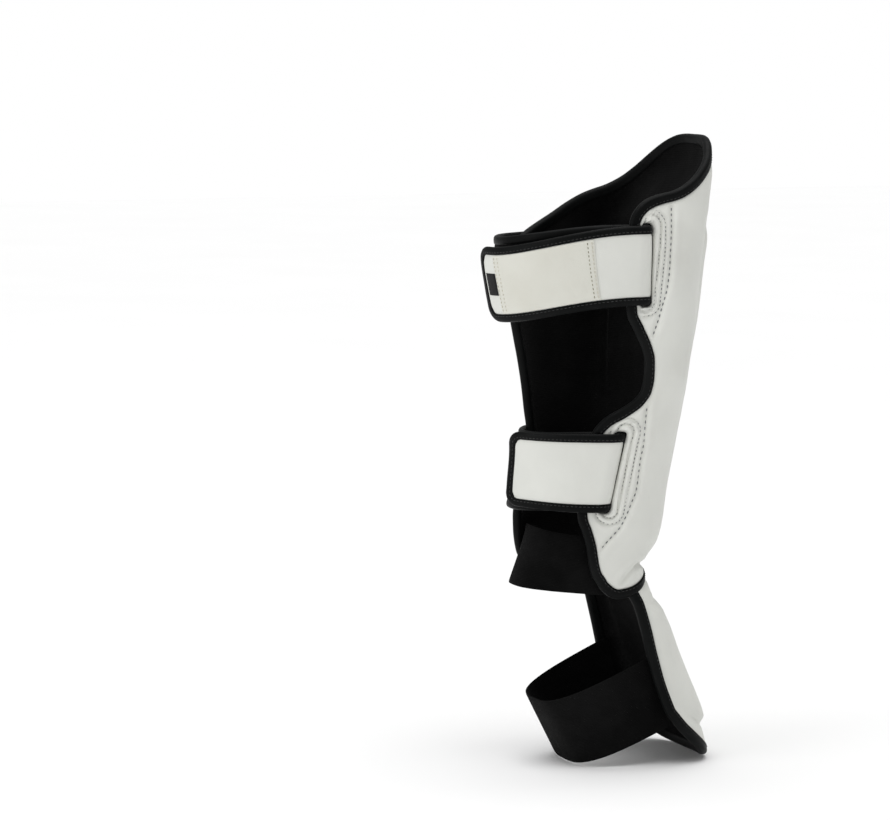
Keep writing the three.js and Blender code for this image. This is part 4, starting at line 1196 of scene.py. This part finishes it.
upper, sewn = STRAPS["upper"], strap_pieces["upper"][1]
patch, start, end = on_strap("strap_sewn_patch", upper, PATCH, "strap_patch", CREAM_LEATHER, "patch_leather",
                             roll=0.9)
label = on_strap("bare_label", upper, LABEL, "size_label", LABEL_WEAVE, "label", roll=0.5)[0]
for name, q, material in (
    ("patch_front_rim_seam", start + 1.4, CREAM_THREAD), ("patch_front_seam", start + 4.0, OLIVE_THREAD),
    ("patch_end_rim_seam", end - 1.2, CREAM_THREAD), ("patch_end_seam", end - 5.0, CREAM_THREAD),
):
    row = strap_row(upper, q, PATCH["height"] / 2 - 1, PATCH_LOW + PATCH["thick"], "patch")
    sewn.append(stitches(name, *row, "patch", material))
sewn.extend([patch, label])


def band(name, edges, through, node, count):
    """Elastic band between two edge lines: a thin wall across the straight lines that join them, with a rolled
    rim. edges are the lines' points, through the direction out of the band."""
    t = np.linspace(0, 1, count)[None, :, None]
    middle = edges[0][:, None] * (1 - t) + edges[1][:, None] * t
    thick = ELASTIC_HALF_THICK * (1 - 0.5 * np.exp(-np.minimum(t, 1 - t) * 46 / 0.8))
    points, quads = wall_between(middle + through[:, None] * thick, middle - through[:, None] * thick)
    width = np.linalg.norm(edges[1] - edges[0], axis=1).mean()
    uv = pairs(lengths((edges[0] + edges[1]) / 2)[:, None], t[..., 0] * width)
    return make_piece(name, points, quads, [ELASTIC], "elastic", [node], uv=uv)


turn = np.linspace(ANKLE_PATH["at"][0], ANKLE_PATH["at"][-1], 121)
middle_z = curve(ANKLE_PATH, "z", turn)
ankle_edges = [offset_point(SHIN, turn, middle_z + side * ANKLE_BAND / 2, curve(ANKLE_PATH, column, turn))
               for side, column in ((-1, "foot"), (1, "top"))]
ankle_band = band("ankle_band", ankle_edges, oval_normal(SHIN, turn, middle_z), "ankle_elastic", 33)


def foot_edge(edge, turn):
    """One edge of the foot band: a superellipse in the plane from the pad's edge to the middle of the sole."""
    s, c = np.sin(np.radians(turn)), np.cos(np.radians(turn))
    down = np.abs(c) ** FOOT_BEND
    y, z = (edge[k] + (edge[f"sole_{k}"] - edge[k]) * down for k in ("y", "z"))
    return np.stack([edge["x"] * np.sign(s) * np.abs(s) ** FOOT_BEND, y, z], axis=-1)


turn = np.linspace(-90, 90, 141)
foot_edges = [foot_edge(edge, turn) for edge in (FOOT_REAR, FOOT_FRONT)]
through = unit(np.cross(np.gradient(foot_edges[0] + foot_edges[1], axis=0), foot_edges[1] - foot_edges[0]))
foot_band = band("foot_band", foot_edges, through, "foot_elastic", 41)


# The studio: a wide pale floor under a white sky, soft light and the camera.
a, e = math.radians(VIEW["azimuth"]), math.radians(VIEW["elevation"])
toward = np.array([math.sin(a) * math.cos(e), -math.cos(a) * math.cos(e), math.sin(e)])
right = np.array([math.cos(a), math.sin(a), 0.0])
upward = np.cross(right, -toward)


def aim(thing, place, target):
    """Puts a light or the camera at a place, looking at a target."""
    back = unit(np.array(place, float) - np.array(target, float))
    side = unit(np.cross((0.0, 0.0, 1.0), back))
    matrix = np.eye(4)
    matrix[:3, :3] = np.stack([side, np.cross(back, side), back], axis=1)
    matrix[:3, 3] = place
    thing.matrix_world = Matrix(matrix)


def studio_floor():
    """Pale floor, a wide square grid with a faint even mottle."""
    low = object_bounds()[0][2] / MM - 0.4
    side = np.linspace(-9000, 9000, 25)
    x, y = np.meshgrid(side, side)
    points = np.stack([x, y, 0 * x + low], axis=-1).reshape(-1, 3)
    mesh = bpy.data.meshes.new("studio_floor")
    mesh.from_pydata((points * MM).tolist(), [], net_quads(len(side), len(side)).tolist())
    material, nodes, shader = new_material("pale_floor", Roughness=0.9, Specular_IOR_Level=0.1)
    mottle = nodes.noise(nodes.place()["Object"], 3.0, 3.0)
    nodes.give(nodes.tint(mottle, (0.92, 0.92, 0.92), (0.95, 0.95, 0.95)), shader.inputs["Base Color"])
    mesh.materials.append(material)
    in_scene("studio_floor", mesh)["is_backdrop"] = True


studio_floor()
key = bpy.data.lights.new("key_left", "AREA")
key.shape, key.size, key.energy = "SQUARE", KEY_LIGHT["size"], KEY_LIGHT["watts"]
level = unit(np.array([toward[0], toward[1], 0.0]))
aim(in_scene("key_left", key), right * KEY_LIGHT["right"] + np.array([0, 0, KEY_LIGHT["up"]])
    + level * KEY_LIGHT["toward"], (0, 0, 0.1))
sun = bpy.data.lights.new("overhead_soft", "SUN")
sun.energy, sun.angle = 2.3, math.radians(70)
in_scene("overhead_soft", sun)

scene = bpy.context.scene
scene.view_settings.view_transform = "Standard"
world = bpy.data.worlds.new("pale_studio")
world.use_nodes = True
sky = Nodes(world.node_tree)
background = world.node_tree.nodes["Background"].inputs
background["Color"].default_value = (1.0, 1.0, 1.0, 1)
seen = sky.add("LightPath").outputs["Is Camera Ray"]
sky.give(sky.remap(seen, 0.0, 1.0, 0.35, 1.0), background["Strength"])
scene.world = world

lens = bpy.data.cameras.new("camera")
lens.sensor_width = 36.0
lens.lens = lens.sensor_width * VIEW["distance"] / (FRAME_PIXELS[0] * VIEW["mm_per_pixel"])
camera = in_scene("camera", lens)
shift_right = (FRAME_PIXELS[0] / 2 - ORIGIN_PIXEL[0]) * VIEW["mm_per_pixel"]
shift_up = (ORIGIN_PIXEL[1] - FRAME_PIXELS[1] / 2) * VIEW["mm_per_pixel"]
target = (right * shift_right + upward * shift_up) * MM
aim(camera, target + toward * VIEW["distance"] * MM, target)
scene.camera = camera
